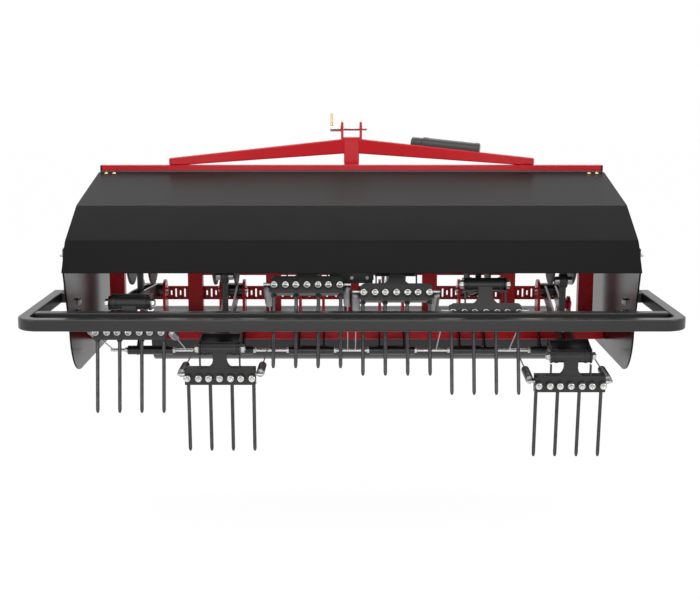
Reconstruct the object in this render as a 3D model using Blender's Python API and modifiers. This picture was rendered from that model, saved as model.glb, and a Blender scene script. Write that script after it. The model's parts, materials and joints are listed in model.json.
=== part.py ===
"""Tractor-mounted deep tine aerator, 1.83 m working width, as separate named pieces.

Metres, +Z up, +Y towards the tractor, +X to the right seen from behind the machine.
The machine is drawn with Z = 0 at the underside of the depth roller and Y = 0 near the tine line.
Every piece is then moved so that the origin is midway between the two lower hitch pins.
"""

import math

import bmesh
import bpy
from mathutils import Matrix, Vector

# Driving dimensions, overall
HEAD_COUNT = 6
HEAD_PITCH = 0.3048
TINE_PITCH = 0.0762
CLEARANCE = 0.0003
WELD_LAP = 0.005
THIN_LAP = 0.002
CUT_PAST = 0.010
HITCH_PIN_Y = 0.880
HITCH_PIN_Z = 0.400

# Driving dimensions, sheet metal covers
HOOD_HALF_WIDTH = 0.978
HOOD_SHEET = 0.003
HOOD_PROFILE = [(0.597, 0.765), (0.175, 0.679), (-0.030, 0.575), (-0.100, 0.477)]
HOOD_HINGE_RADIUS = 0.006
SIDE_PLATE_OUTSIDE = 0.975
SIDE_PLATE_SHEET = 0.006
SIDE_PLATE_BOTTOM = 0.0975
SIDE_PLATE_FRONT = 0.700
SIDE_PLATE_SHOULDER = 0.350
SIDE_PLATE_REAR_DROP = (-0.030, 0.270)
SIDE_PLATE_HEEL = (0.120, 0.0975)
SKIRT_BOLTS = ((0.100, 0.345), (0.100, 0.305))
BEAM_BOLT_INSET = 0.040

# Driving dimensions, main frame
BEAM_REAR = 0.450
BEAM_FRONT = 0.600
BEAM_BOTTOM = 0.134
BEAM_TOP = 0.210
TOP_BEAM_DEPTH = 0.045
TOP_BEAM_BOTTOM = 0.745
TOP_BEAM_TOP = 0.790
POST_WIDTH = 0.058
POST_DEPTH = 0.040
POST_WALL = 0.006
POST_FOOT_HEIGHT = 0.012
SLOT_BAR_BOTTOM = 0.264
SLOT_BAR_TOP = 0.317
SLOT_BAR_SHEET = 0.010
SLOT_BAR_HALF = 0.810

# Driving dimensions, three-point hitch
HITCH_TUBE_HALF = 0.640
HITCH_TUBE_DEPTH = 0.060
HITCH_TUBE_BOTTOM = 0.360
HITCH_TUBE_TOP = 0.440
HITCH_EAR_INNER = 0.360
HITCH_EAR_OUTER = 0.452
HITCH_EAR_SHEET = 0.012
HITCH_EAR_RADIUS = 0.045
HITCH_EAR_INSET = 0.002
HITCH_PIN_RADIUS = 0.011
HITCH_PIN_END = 0.480
HITCH_PIN_HEAD_RADIUS = 0.018
HITCH_PIN_HEAD_LENGTH = 0.014
APEX_Y = 0.780
APEX_TOP = 0.885
APEX_LAP = 0.012
BRACE_FOOT_X = 0.710
BRACE_THICKNESS = 0.040
BRACE_HEIGHT = 0.058
BRACE_FOOT_LENGTH = 0.060
BRACE_FOOT_HEIGHT = 0.026
MAST_HALF = 0.030
MAST_DEPTH = 0.050
MAST_BOTTOM = 0.700
MAST_TOP = 0.880
SEAT_LAP = 0.004
SEAT_OVERHANG = 0.020
SEAT_SHEET = 0.010
LINK_EAR_GAP = 0.032
LINK_EAR_SHEET = 0.010
LINK_EAR_RADIUS = 0.026
LINK_PIN_Y = 0.800
LINK_PIN_Z = 0.925
LINK_PIN_RADIUS = 0.0095
LINK_PIN_RIGHT = 0.062
LINK_PIN_LEFT = -0.085
LINK_PIN_HANDLE = 0.060
LINK_COLLAR_RADIUS = 0.014
LINK_HANDLE_RADIUS = 0.005
LINK_HANDLE_INSET = 0.006

# Driving dimensions, rear guard
GUARD_TUBE = 0.040
GUARD_SIDE_GAP = 0.132
GUARD_TUBE_GAP = 0.087
GUARD_HEAD_GAP = 0.060
GUARD_FRONT = 0.340
GUARD_HEIGHT = 0.327
GUARD_CORNER = 0.080
GUARD_INNER_RECESS = 0.0005
BRACKET_REAR = 0.230
BRACKET_FRONT = 0.370
BRACKET_SHEET = 0.010
BRACKET_TOP = 0.500
BRACKET_DROP = 0.030
SPACER_HALF = 0.030
BRACKET_BOLT_INSET = 0.025
UPRIGHT_GAP = 0.006
UPRIGHT_HALF = 0.013
UPRIGHT_Y = 0.300
UPRIGHT_TOP = 0.522
UPRIGHT_POINT = 0.018
UPRIGHT_FOOT = 0.010
NUB_DROP = 0.040
NUB_LENGTH = 0.012
NUB_RADIUS = 0.006

# Driving dimensions, crank drive
CRANK_Y = 0.260
CRANK_Z = 0.500
CRANK_SHAFT_RADIUS = 0.018
CRANK_CHEEK_RADIUS = 0.120
CRANK_CHEEK_INNER = 0.034
CRANK_CHEEK_SHEET = 0.008
CRANK_PIN_RADIUS = 0.015
CRANK_PIN_GAP = 0.003
CRANK_SHAFT_END = 0.950
BEARING_RADIUS = 0.045
BEARING_DEPTH = 0.038
HANGER_SHEET = 0.012
HANGER_HEIGHT = 0.090
HANGER_REAR = 0.215
GEARBOX_HALF = 0.075
GEARBOX_WALL = 0.008
GEARBOX_REAR = 0.130
GEARBOX_FRONT = 0.440
GEARBOX_BOTTOM = 0.405
GEARBOX_TOP = 0.595
SNOUT_HALF = 0.040
SNOUT_HEIGHT = 0.140
SNOUT_LAP = 0.010
INPUT_BORE_START = 0.100
GEAR_CONE = 0.070
PINION_CONE = 0.045
GEAR_RATIO = 2.0
INPUT_SHAFT_RADIUS = 0.0175
INPUT_SHAFT_END = 0.840

# Driving dimensions, swing arm and connecting rod
ARM_PIVOT_Y = 0.500
ARM_PIVOT_Z = 0.320
ARM_LENGTH = 0.530
ARM_ROD_PLACE = 0.300
ARM_PLATE_INNER = 0.0153
ARM_PLATE_SHEET = 0.008
ARM_HEIGHT = 0.056
ARM_TUBE_RADIUS = 0.026
ARM_TUBE_HALF = 0.039
ARM_PIN_RADIUS = 0.012
ARM_LUG_SHEET = 0.010
ARM_LUG_WIDTH = 0.080
FORK_SHEET = 0.0055
FORK_DEPTH = 0.080
FORK_HEIGHT = 0.050
FORK_BRIDGE = 0.012
FORK_INSET = 0.0005
ARM_PIN_PROUD = 0.006
ARM_PLATE_START = 0.0156
ROD_LENGTH = 0.170
ROD_HALF = 0.0117
ROD_WIDTH = 0.031
ROD_BEHIND_SHAFT = 0.065
ROD_BIG_BOSS = 0.002
ROD_SMALL_BOSS = 0.001
ROD_PIN_PROUD = 0.002
ROD_BIG_END = 0.026
ROD_SMALL_END = 0.024

# Driving dimensions, tine head
PIVOT_TUBE_RADIUS = 0.0225
PIVOT_TUBE_HALF = 0.066
PIVOT_STUB_RADIUS = 0.010
PIVOT_NUT_RADIUS = 0.015
PIVOT_NUT_LENGTH = 0.016
PLATE_HALF = 0.1225
PLATE_TOP = -0.066
PLATE_BOTTOM = -0.126
PLATE_REAR = -0.021
PLATE_DEPTH = 0.021
PLATE_CORNER = 0.016
CLAMP_DEPTH = 0.026
CLAMP_TOP = -0.070
NECK_HALF = 0.024
NECK_FOOT = 0.030
NECK_LAP = 0.004
CLAMP_BOLT_LENGTH = 0.019
CLAMP_BOLT_HEIGHT = -0.099
BOLT_RADIUS = 0.0115
BOLT_LENGTH = 0.012
BOLT_PLACES = (0.0, 0.038, 0.073, 0.112)
TINE_RADIUS = 0.00635
TINES_PER_HEAD = 4
TINE_BELOW_PLATE = 0.255
TINE_TIP = 0.020
TINE_TIP_SHARE = 0.55
TINE_LAP = 0.001
STUD_RADIUS = 0.005
STUD_LENGTH = 0.027
STUD_FORWARD = -0.007
STUD_HEIGHT = -0.092

# Driving dimensions, return springs
SPRING_SIDE = 0.1385
SPRING_RADIUS = 0.011
SPRING_WIRE = 0.0025
SPRING_CURLS = 4
SPRING_LEAD = 0.030
POINTS_PER_CURL = 8
ANCHOR_Y = 0.375
ANCHOR_Z = 0.109
ANCHOR_TUBE_RADIUS = 0.017
ANCHOR_TUBE_HALF = 0.085
ANCHOR_ROD_RADIUS = 0.006
ANCHOR_ROD_END = 0.149
ANCHOR_PLATE_PLACE = 0.047
ANCHOR_PLATE_SHEET = 0.006
ANCHOR_PLATE_REAR = 0.370
ANCHOR_PLATE_BOTTOM = 0.095
ANCHOR_PLATE_TOP = 0.195

# Driving dimensions, depth roller
ROLLER_RADIUS = 0.1075
ROLLER_HALF = 0.795
ROLLER_Y = 0.720
ROLLER_AXLE_RADIUS = 0.018
ROLLER_ARM_INNER = 0.822
ROLLER_ARM_SHEET = 0.010
ROLLER_ARM_WIDTH = 0.040
ROLLER_LUG_RADIUS = 0.030
ROLLER_PIN_PROUD = 0.006
ROLLER_PIVOT_Y = 0.500
ROLLER_PIVOT_Z = 0.265
ROLLER_ELBOW_Y = 0.665
ROLLER_PIN_RADIUS = 0.010

# Driving dimensions, manual tube on the right brace
TUBE_RADIUS = 0.032
TUBE_NECK_RADIUS = 0.024
TUBE_START = 0.215
TUBE_LENGTH = 0.230
TUBE_CAP_LENGTH = 0.045
TUBE_CAP_TOP = 0.012
TUBE_CAP_WALL = 0.004
TUBE_WALL = 0.003
TUBE_BASE = 0.004

# Rest pose of each head, left to right, read from the photograph
HEAD_HEIGHTS = (0.362, 0.200, 0.512, 0.489, 0.426, 0.171)
HEAD_LEAN = 6.0
HEAD_LEAN_SHARE = 0.7

ROUND_SIDES = 14
SMALL_SIDES = 8
BOLT_SIDES = 6
ARC_STEPS = 5
HEEL_STEPS = 6
GUARD_CORNER_STEPS = 6
NECK_STEPS = 3
CORNER_STEPS = 2
TINE_SIDES = 6

# Sizes that follow from the driving ones
TOP_BEAM_REAR = HOOD_PROFILE[0][0] + HOOD_HINGE_RADIUS * 2 + CLEARANCE * 2
TOP_BEAM_FRONT = TOP_BEAM_REAR + TOP_BEAM_DEPTH
SIDE_PLATE_INSIDE = SIDE_PLATE_OUTSIDE - SIDE_PLATE_SHEET
GUARD_HALF_WIDTH = SIDE_PLATE_OUTSIDE + GUARD_SIDE_GAP
GUARD_INNER_REAR = ARM_PIVOT_Y - ARM_LENGTH - GUARD_HEAD_GAP - GUARD_TUBE
GUARD_REAR = GUARD_INNER_REAR - GUARD_TUBE_GAP - GUARD_TUBE
UPRIGHT_X = GUARD_HALF_WIDTH - GUARD_TUBE - UPRIGHT_GAP - UPRIGHT_HALF
POST_REAR = BEAM_FRONT - POST_DEPTH
FORK_INSIDE = PIVOT_TUBE_HALF + CLEARANCE
FORK_OUTSIDE = FORK_INSIDE + FORK_SHEET
ROLLER_Z = ROLLER_RADIUS
ARM_LUG_INSIDE = ARM_TUBE_HALF + CLEARANCE
ARM_LUG_OUTSIDE = ARM_LUG_INSIDE + ARM_LUG_SHEET
HEAD_PLACES = [(i - (HEAD_COUNT - 1) / 2) * HEAD_PITCH for i in range(HEAD_COUNT)]
ORIGIN_SHIFT = Vector((0.0, -HITCH_PIN_Y, -HITCH_PIN_Z))

COLOURS = {
    "red_paint": ((0.52, 0.012, 0.018), 0.28, 0.0),
    "black_paint": ((0.012, 0.012, 0.013), 0.32, 0.0),
    "black_casting": ((0.020, 0.020, 0.022), 0.50, 0.0),
    "zinc": ((0.62, 0.62, 0.60), 0.28, 1.0),
    "spring_steel": ((0.30, 0.30, 0.31), 0.35, 1.0),
    "tine_steel": ((0.07, 0.07, 0.075), 0.38, 1.0),
    "machined_steel": ((0.34, 0.34, 0.35), 0.35, 1.0),
    "black_plastic": ((0.016, 0.016, 0.017), 0.45, 0.0),
}


# Scene and material helpers

def clear_scene():
    for item in list(bpy.data.objects):
        bpy.data.objects.remove(item, do_unlink=True)


def make_collection(name):
    collection = bpy.data.collections.new(name)
    bpy.context.scene.collection.children.link(collection)
    return collection


clear_scene()
PARTS = make_collection("deep_tine_aerator")
CUTTERS = make_collection("cutters")
MATERIALS = {}


def material(finish):
    if finish not in MATERIALS:
        colour, roughness, metallic = COLOURS[finish]
        made = bpy.data.materials.new(finish)
        made.use_nodes = True
        shader = made.node_tree.nodes["Principled BSDF"]
        shader.inputs["Base Color"].default_value = (*colour, 1.0)
        shader.inputs["Roughness"].default_value = roughness
        shader.inputs["Metallic"].default_value = metallic
        MATERIALS[finish] = made
    return MATERIALS[finish]


def solid_from(bm, name="solid"):
    bmesh.ops.recalc_face_normals(bm, faces=bm.faces)
    mesh = bpy.data.meshes.new(name)
    bm.to_mesh(mesh)
    bm.free()
    piece = bpy.data.objects.new(name, mesh)
    CUTTERS.objects.link(piece)
    return piece


# Simple solids, each a loose object until it is named and given a material

def box(low, high):
    bm = bmesh.new()
    size = [high[i] - low[i] for i in range(3)]
    middle = Vector([(high[i] + low[i]) / 2 for i in range(3)])
    bmesh.ops.create_cube(bm, size=1.0, matrix=Matrix.Translation(middle) @ Matrix.Diagonal((*size, 1.0)))
    return solid_from(bm)


def rod(start, end, radius, sides=SMALL_SIDES, end_radius=None):
    start = Vector(start)
    end = Vector(end)
    turn = (end - start).to_track_quat("Z", "Y").to_matrix().to_4x4()
    bm = bmesh.new()
    bmesh.ops.create_cone(
        bm, cap_ends=True, segments=sides, radius1=radius,
        radius2=radius if end_radius is None else end_radius,
        depth=(end - start).length, matrix=Matrix.Translation((start + end) / 2) @ turn)
    return solid_from(bm)


def bore(radius, sides=SMALL_SIDES):
    """Corner radius of a faceted hole whose flats clear a round of this radius at any turn."""
    return (radius + CLEARANCE) / math.cos(math.pi / sides)


def cross_rod(left, right, y, z, radius, sides=SMALL_SIDES):
    return rod((left, y, z), (right, y, z), radius, sides)


def flat_plate(outline, x_low, x_high):
    """A plate cut to an outline in Y and Z, standing between two X values."""
    bm = bmesh.new()
    ring = [bm.verts.new((x_low, y, z)) for y, z in outline]
    face = bm.faces.new(ring)
    grown = bmesh.ops.extrude_face_region(bm, geom=[face])
    for item in grown["geom"]:
        if isinstance(item, bmesh.types.BMVert):
            item.co.x = x_high
    return solid_from(bm)


def upright_plate(outline, thickness):
    """A plate cut to an outline in X and Z, centred on Y = 0."""
    bm = bmesh.new()
    ring = [bm.verts.new((x, -thickness / 2, z)) for x, z in outline]
    face = bm.faces.new(ring)
    grown = bmesh.ops.extrude_face_region(bm, geom=[face])
    for item in grown["geom"]:
        if isinstance(item, bmesh.types.BMVert):
            item.co.y = thickness / 2
    return solid_from(bm)


def evaluated_mesh(piece):
    graph = bpy.context.evaluated_depsgraph_get()
    return bpy.data.meshes.new_from_object(piece.evaluated_get(graph))


def combine(piece, other, operation):
    """Join another solid to a piece, or cut it out, and use the other solid up."""
    change = piece.modifiers.new("combine", "BOOLEAN")
    change.operation = operation
    change.solver = "EXACT"
    change.object = other
    mesh = evaluated_mesh(piece)
    piece.modifiers.clear()
    piece.data = mesh
    bpy.data.objects.remove(other, do_unlink=True)
    return piece


def weld(solids):
    piece = solids[0]
    for other in solids[1:]:
        combine(piece, other, "UNION")
    return piece


def cut(piece, cutters):
    for cutter in cutters:
        combine(piece, cutter, "DIFFERENCE")
    return piece


def finish_part(name, piece, finish, place=(0.0, 0.0, 0.0), turn=0.0):
    """Name a piece, give it its finish, and set it on its own axis in the shifted frame."""
    CUTTERS.objects.unlink(piece)
    PARTS.objects.link(piece)
    piece.name = name
    piece.data.name = name
    piece.data.materials.clear()
    piece.data.materials.append(material(finish))
    piece.location = Vector(place) + ORIGIN_SHIFT
    piece.rotation_euler = (turn, 0.0, 0.0)
    piece.data.shade_smooth()
    piece.data.set_sharp_from_angle(angle=math.radians(35))
    return piece


def shifted_profile(points, distance):
    """Move an open profile in Y and Z inwards by a distance, keeping its corners true."""
    normals = []
    for (y0, z0), (y1, z1) in zip(points, points[1:]):
        length = math.hypot(y1 - y0, z1 - z0)
        normals.append(((z0 - z1) / length, (y1 - y0) / length))
    moved = []
    for index, (y, z) in enumerate(points):
        near = normals[max(index - 1, 0)]
        far = normals[min(index, len(normals) - 1)]
        joined = (near[0] + far[0], near[1] + far[1])
        scale = distance / (1 + near[0] * far[0] + near[1] * far[1])
        moved.append((y + joined[0] * scale, z + joined[1] * scale))
    return moved


# Hood, its hinges, and the side plates that carry it

def build_hood():
    bm = bmesh.new()
    rows = []
    for side in (-HOOD_HALF_WIDTH, HOOD_HALF_WIDTH):
        rows.append([bm.verts.new((side, y, z)) for y, z in HOOD_PROFILE])
    for index in range(len(HOOD_PROFILE) - 1):
        bm.faces.new((rows[0][index], rows[0][index + 1], rows[1][index + 1], rows[1][index]))
    sheet = solid_from(bm)
    for face in sheet.data.polygons:
        if face.normal.z < 0:
            sheet.data.flip_normals()
            break
    wall = sheet.modifiers.new("sheet", "SOLIDIFY")
    wall.thickness = HOOD_SHEET
    wall.offset = -1.0
    wall.use_even_offset = True
    mesh = evaluated_mesh(sheet)
    sheet.modifiers.clear()
    sheet.data = mesh
    hinge_y, hinge_z = hood_hinge()
    for point in mesh.vertices:
        point.co.y -= hinge_y
        point.co.z -= hinge_z
    finish_part("hood", sheet, "black_paint", (0.0, hinge_y, hinge_z))


def hood_hinge():
    front_y, front_z = HOOD_PROFILE[0]
    return front_y + HOOD_HINGE_RADIUS + CLEARANCE, front_z


def build_hood_hinge_rod():
    hinge_y, hinge_z = hood_hinge()
    half = SIDE_PLATE_INSIDE - CLEARANCE
    finish_part("hood_hinge_rod", cross_rod(-half, half, hinge_y, hinge_z, HOOD_HINGE_RADIUS), "zinc")


def side_plate_outline():
    top = shifted_profile(HOOD_PROFILE, HOOD_SHEET + CLEARANCE)
    heel_y, heel_z = SIDE_PLATE_HEEL
    drop_y, drop_z = SIDE_PLATE_REAR_DROP
    curve = []
    for step in range(1, HEEL_STEPS):
        angle = math.radians(90 * step / HEEL_STEPS)
        curve.append((heel_y - (heel_y - drop_y) * math.cos(angle),
                      drop_z - (drop_z - heel_z) * math.sin(angle)))
    front = [(SIDE_PLATE_FRONT, SIDE_PLATE_BOTTOM), (SIDE_PLATE_FRONT, SIDE_PLATE_SHOULDER),
             (TOP_BEAM_FRONT, TOP_BEAM_BOTTOM), (TOP_BEAM_FRONT, TOP_BEAM_TOP),
             (TOP_BEAM_REAR, TOP_BEAM_TOP),
             (TOP_BEAM_REAR, TOP_BEAM_BOTTOM), (top[0][0], TOP_BEAM_BOTTOM)]
    return top + [(drop_y, drop_z)] + curve + [(heel_y, heel_z)] + front


def build_side_plates():
    """Each end plate carries its crankshaft bearing and the bolts of its skirt and of the lower beam."""
    outline = side_plate_outline()
    for name, side in (("side_plate_left", -1), ("side_plate_right", 1)):
        low, high = sorted((side * SIDE_PLATE_INSIDE, side * SIDE_PLATE_OUTSIDE))
        lap = SIDE_PLATE_SHEET / 2
        bearing = cross_rod(side * (SIDE_PLATE_INSIDE + lap), side * (SIDE_PLATE_INSIDE - BEARING_DEPTH),
                            CRANK_Y, CRANK_Z, BEARING_RADIUS, ROUND_SIDES)
        pieces = [flat_plate(outline, low, high), bearing]
        for y, z in SKIRT_BOLTS:
            pieces.append(cross_rod(side * (SIDE_PLATE_INSIDE + lap),
                                    side * (SIDE_PLATE_INSIDE - BOLT_LENGTH),
                                    y, z, BOLT_RADIUS, BOLT_SIDES))
        for y in (BEAM_REAR + BEAM_BOLT_INSET, BEAM_FRONT - BEAM_BOLT_INSET):
            pieces.append(cross_rod(side * (SIDE_PLATE_OUTSIDE - lap),
                                    side * (SIDE_PLATE_OUTSIDE + BOLT_LENGTH),
                                    y, (BEAM_BOTTOM + BEAM_TOP) / 2, BOLT_RADIUS, BOLT_SIDES))
        shaft_bore = cross_rod(side * (CRANK_SHAFT_END + CLEARANCE),
                               side * (SIDE_PLATE_INSIDE - BEARING_DEPTH * 2),
                               CRANK_Y, CRANK_Z, bore(CRANK_SHAFT_RADIUS, ROUND_SIDES), ROUND_SIDES)
        finish_part(name, cut(weld(pieces), [shaft_bore]), "black_paint")


# Main frame

def build_top_beam():
    """The upper cross tube, with the centre post's upper length hanging from it over the gearbox snout."""
    half = SIDE_PLATE_INSIDE - CLEARANCE
    beam = box((-half, TOP_BEAM_REAR, TOP_BEAM_BOTTOM), (half, TOP_BEAM_FRONT, TOP_BEAM_TOP))
    foot = box((-POST_WIDTH / 2, POST_REAR + POST_WALL / 2, TOP_BEAM_BOTTOM - POST_FOOT_HEIGHT),
               (POST_WIDTH / 2, TOP_BEAM_FRONT - POST_WALL, TOP_BEAM_BOTTOM + POST_WALL / 2))
    hanging = channel(0.0, CRANK_Z + SNOUT_HEIGHT / 2 - SNOUT_LAP, TOP_BEAM_BOTTOM - POST_FOOT_HEIGHT / 2)
    finish_part("top_beam", weld([beam, foot, hanging]), "red_paint")


def arm_lug(place):
    outline = lug_outline(ARM_PIVOT_Y, ARM_PIVOT_Z, ARM_LUG_WIDTH / 2, BEAM_TOP - WELD_LAP)
    low, high = place
    lug = flat_plate(outline, low, high)
    return cut(lug, [cross_rod(low - CUT_PAST, high + CUT_PAST, ARM_PIVOT_Y, ARM_PIVOT_Z,
                               bore(ARM_PIN_RADIUS))])


def lug_outline(y, z, radius, foot_z):
    arc = []
    for step in range(ARC_STEPS + 1):
        angle = math.pi * step / ARC_STEPS
        arc.append((y + radius * math.cos(angle), z + radius * math.sin(angle)))
    return [(y + radius, foot_z)] + arc + [(y - radius, foot_z)]


def roller_lug(place):
    outline = lug_outline(ROLLER_PIVOT_Y, ROLLER_PIVOT_Z, ROLLER_LUG_RADIUS, BEAM_TOP - WELD_LAP)
    low, high = place
    lug = flat_plate(outline, low, high)
    return cut(lug, [cross_rod(low - CUT_PAST, high + CUT_PAST, ROLLER_PIVOT_Y, ROLLER_PIVOT_Z,
                               bore(ROLLER_PIN_RADIUS))])


def build_main_frame():
    """The lower cross beam with its posts, arm lugs, roller lugs and crankshaft hangers welded on."""
    half = SIDE_PLATE_INSIDE - CLEARANCE
    solids = [box((-half, BEAM_REAR, BEAM_BOTTOM), (half, BEAM_FRONT, BEAM_TOP))]
    for index in range(-3, 4):
        solids.append(post(index))
    for index in (-2, -1, 1, 2):
        solids.append(hanger(index * HEAD_PITCH))
    for centre in HEAD_PLACES:
        for side in (-1, 1):
            solids.append(arm_lug(sorted((centre + side * ARM_LUG_INSIDE, centre + side * ARM_LUG_OUTSIDE))))
    inside = ROLLER_ARM_INNER + ROLLER_ARM_SHEET + CLEARANCE
    for side in (-1, 1):
        solids.append(roller_lug(sorted((side * inside, side * (inside + ROLLER_ARM_SHEET)))))
    finish_part("main_frame", weld(solids), "red_paint")


def hanger(centre):
    """A plate behind a post, bored for the crankshaft."""
    low, high = centre - HANGER_SHEET / 2, centre + HANGER_SHEET / 2
    plate = box((low, HANGER_REAR, CRANK_Z - HANGER_HEIGHT / 2),
                (high, POST_REAR + POST_WALL / 2, CRANK_Z + HANGER_HEIGHT / 2))
    return cut(plate, [cross_rod(low - CUT_PAST, high + CUT_PAST, CRANK_Y, CRANK_Z,
                                 bore(CRANK_SHAFT_RADIUS, ROUND_SIDES), ROUND_SIDES)])


def channel(centre, bottom, top):
    """An upright channel with its web at the back and its lips towards the tractor."""
    half = POST_WIDTH / 2
    body = box((centre - half, POST_REAR, bottom), (centre + half, BEAM_FRONT, top))
    hollow = box((centre - half + POST_WALL, POST_REAR + POST_WALL, bottom - CUT_PAST),
                 (centre + half - POST_WALL, BEAM_FRONT + CUT_PAST, top + CUT_PAST))
    return cut(body, [hollow])


def post(index):
    """A channel from the lower beam; all but the centre one end in a foot that carries the top beam."""
    centre = index * HEAD_PITCH
    bottom = BEAM_TOP - POST_WALL / 2
    if index == 0:
        return channel(centre, bottom, CRANK_Z - SNOUT_HEIGHT / 2 + SNOUT_LAP)
    top = TOP_BEAM_BOTTOM - CLEARANCE
    half = POST_WIDTH / 2
    foot = box((centre - half, POST_REAR + POST_WALL / 2, top - POST_FOOT_HEIGHT),
               (centre + half, TOP_BEAM_FRONT - POST_WALL, top))
    return weld([channel(centre, bottom, top - POST_FOOT_HEIGHT / 2), foot])


def build_slotted_bar():
    rear = BEAM_FRONT + CLEARANCE
    bar = box((-SLOT_BAR_HALF, rear, SLOT_BAR_BOTTOM), (SLOT_BAR_HALF, rear + SLOT_BAR_SHEET, SLOT_BAR_TOP))
    finish_part("slotted_bar", bar, "red_paint")


# Three-point hitch

def build_hitch_frame():
    rear = BEAM_FRONT + CLEARANCE
    front = rear + HITCH_TUBE_DEPTH
    solids = [box((-HITCH_TUBE_HALF, rear, HITCH_TUBE_BOTTOM), (HITCH_TUBE_HALF, front, HITCH_TUBE_TOP))]
    for side in (-1, 1):
        for place in (HITCH_EAR_INNER, HITCH_EAR_OUTER - HITCH_EAR_SHEET):
            low, high = sorted((side * place, side * (place + HITCH_EAR_SHEET)))
            solids.append(cut(flat_plate(ear_outline(front - WELD_LAP), low, high),
                              [cross_rod(low - CUT_PAST, high + CUT_PAST, HITCH_PIN_Y, HITCH_PIN_Z,
                                         bore(HITCH_PIN_RADIUS))]))
    finish_part("hitch_frame", weld(solids), "red_paint")


def ear_outline(rear):
    arc = []
    for step in range(ARC_STEPS + 1):
        angle = math.radians(-90 + 180 * step / ARC_STEPS)
        arc.append((HITCH_PIN_Y + HITCH_EAR_RADIUS * math.cos(angle),
                    HITCH_PIN_Z + HITCH_EAR_RADIUS * math.sin(angle)))
    return [(rear, HITCH_TUBE_BOTTOM + HITCH_EAR_INSET)] + arc + [(rear, HITCH_TUBE_TOP - HITCH_EAR_INSET)]


def build_lower_hitch_pins():
    for name, side in (("lower_hitch_pin_left", -1), ("lower_hitch_pin_right", 1)):
        inner = HITCH_EAR_INNER - HITCH_PIN_HEAD_LENGTH
        shank = cross_rod(side * inner, side * HITCH_PIN_END, HITCH_PIN_Y, HITCH_PIN_Z, HITCH_PIN_RADIUS)
        head = cross_rod(side * (inner - CLEARANCE), side * (HITCH_EAR_INNER - CLEARANCE), HITCH_PIN_Y,
                         HITCH_PIN_Z, HITCH_PIN_HEAD_RADIUS)
        finish_part(name, weld([shank, head]), "zinc")


def brace_direction():
    foot = Vector((BRACE_FOOT_X, (TOP_BEAM_REAR + TOP_BEAM_FRONT) / 2, 0.0))
    apex = Vector((MAST_HALF - APEX_LAP, APEX_Y, 0.0))
    return foot, apex


def brace_outline(length):
    bottom = TOP_BEAM_TOP + CLEARANCE
    return [(0.0, bottom), (BRACE_FOOT_LENGTH, bottom), (length, APEX_TOP - BRACE_HEIGHT),
            (length, APEX_TOP), (0.0, bottom + BRACE_FOOT_HEIGHT)]


def brace_solids():
    foot, apex = brace_direction()
    run = apex - foot
    solids = []
    for side in (-1, 1):
        brace = upright_plate(brace_outline(run.length), BRACE_THICKNESS)
        heading = Vector((side * run.x, run.y, 0.0))
        turn = Matrix.Rotation(math.atan2(heading.y, heading.x), 4, "Z")
        brace.data.transform(Matrix.Translation((side * foot.x, foot.y, 0.0)) @ turn)
        solids.append(brace)
    return solids


def build_headstock():
    rear = APEX_Y - MAST_DEPTH / 2
    front = APEX_Y + MAST_DEPTH / 2
    solids = [box((-MAST_HALF, rear, MAST_BOTTOM), (MAST_HALF, front, MAST_TOP)),
              box((-MAST_HALF, TOP_BEAM_FRONT + CLEARANCE, TOP_BEAM_BOTTOM),
                  (MAST_HALF, rear + WELD_LAP, TOP_BEAM_TOP))]
    seat = box((-LINK_EAR_GAP - LINK_EAR_SHEET, rear + SEAT_LAP, MAST_TOP - SEAT_LAP),
               (LINK_EAR_GAP + LINK_EAR_SHEET, front + SEAT_OVERHANG, MAST_TOP + SEAT_SHEET))
    solids.append(seat)
    for side in (-1, 1):
        low, high = sorted((side * LINK_EAR_GAP, side * (LINK_EAR_GAP + LINK_EAR_SHEET)))
        ear = flat_plate(lug_outline(LINK_PIN_Y, LINK_PIN_Z, LINK_EAR_RADIUS,
                                     MAST_TOP + THIN_LAP), low, high)
        solids.append(cut(ear, [cross_rod(low - CUT_PAST, high + CUT_PAST, LINK_PIN_Y, LINK_PIN_Z,
                                          bore(LINK_PIN_RADIUS))]))
    finish_part("headstock", weld(solids + brace_solids()), "red_paint")


def build_top_link_pin():
    centre = (0.0, LINK_PIN_Y, LINK_PIN_Z)
    shank = cross_rod(LINK_PIN_LEFT, LINK_PIN_RIGHT, 0.0, 0.0, LINK_PIN_RADIUS, SMALL_SIDES)
    collar = cross_rod(LINK_PIN_LEFT, -LINK_EAR_GAP - LINK_EAR_SHEET - CLEARANCE, 0.0, 0.0,
                       LINK_COLLAR_RADIUS)
    place = LINK_PIN_LEFT + LINK_HANDLE_INSET
    handle = rod((place, 0.0, 0.0), (place, 0.0, LINK_PIN_HANDLE), LINK_HANDLE_RADIUS, BOLT_SIDES)
    finish_part("top_link_pin", weld([shank, collar, handle]), "zinc", centre)


# Rear guard

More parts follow.
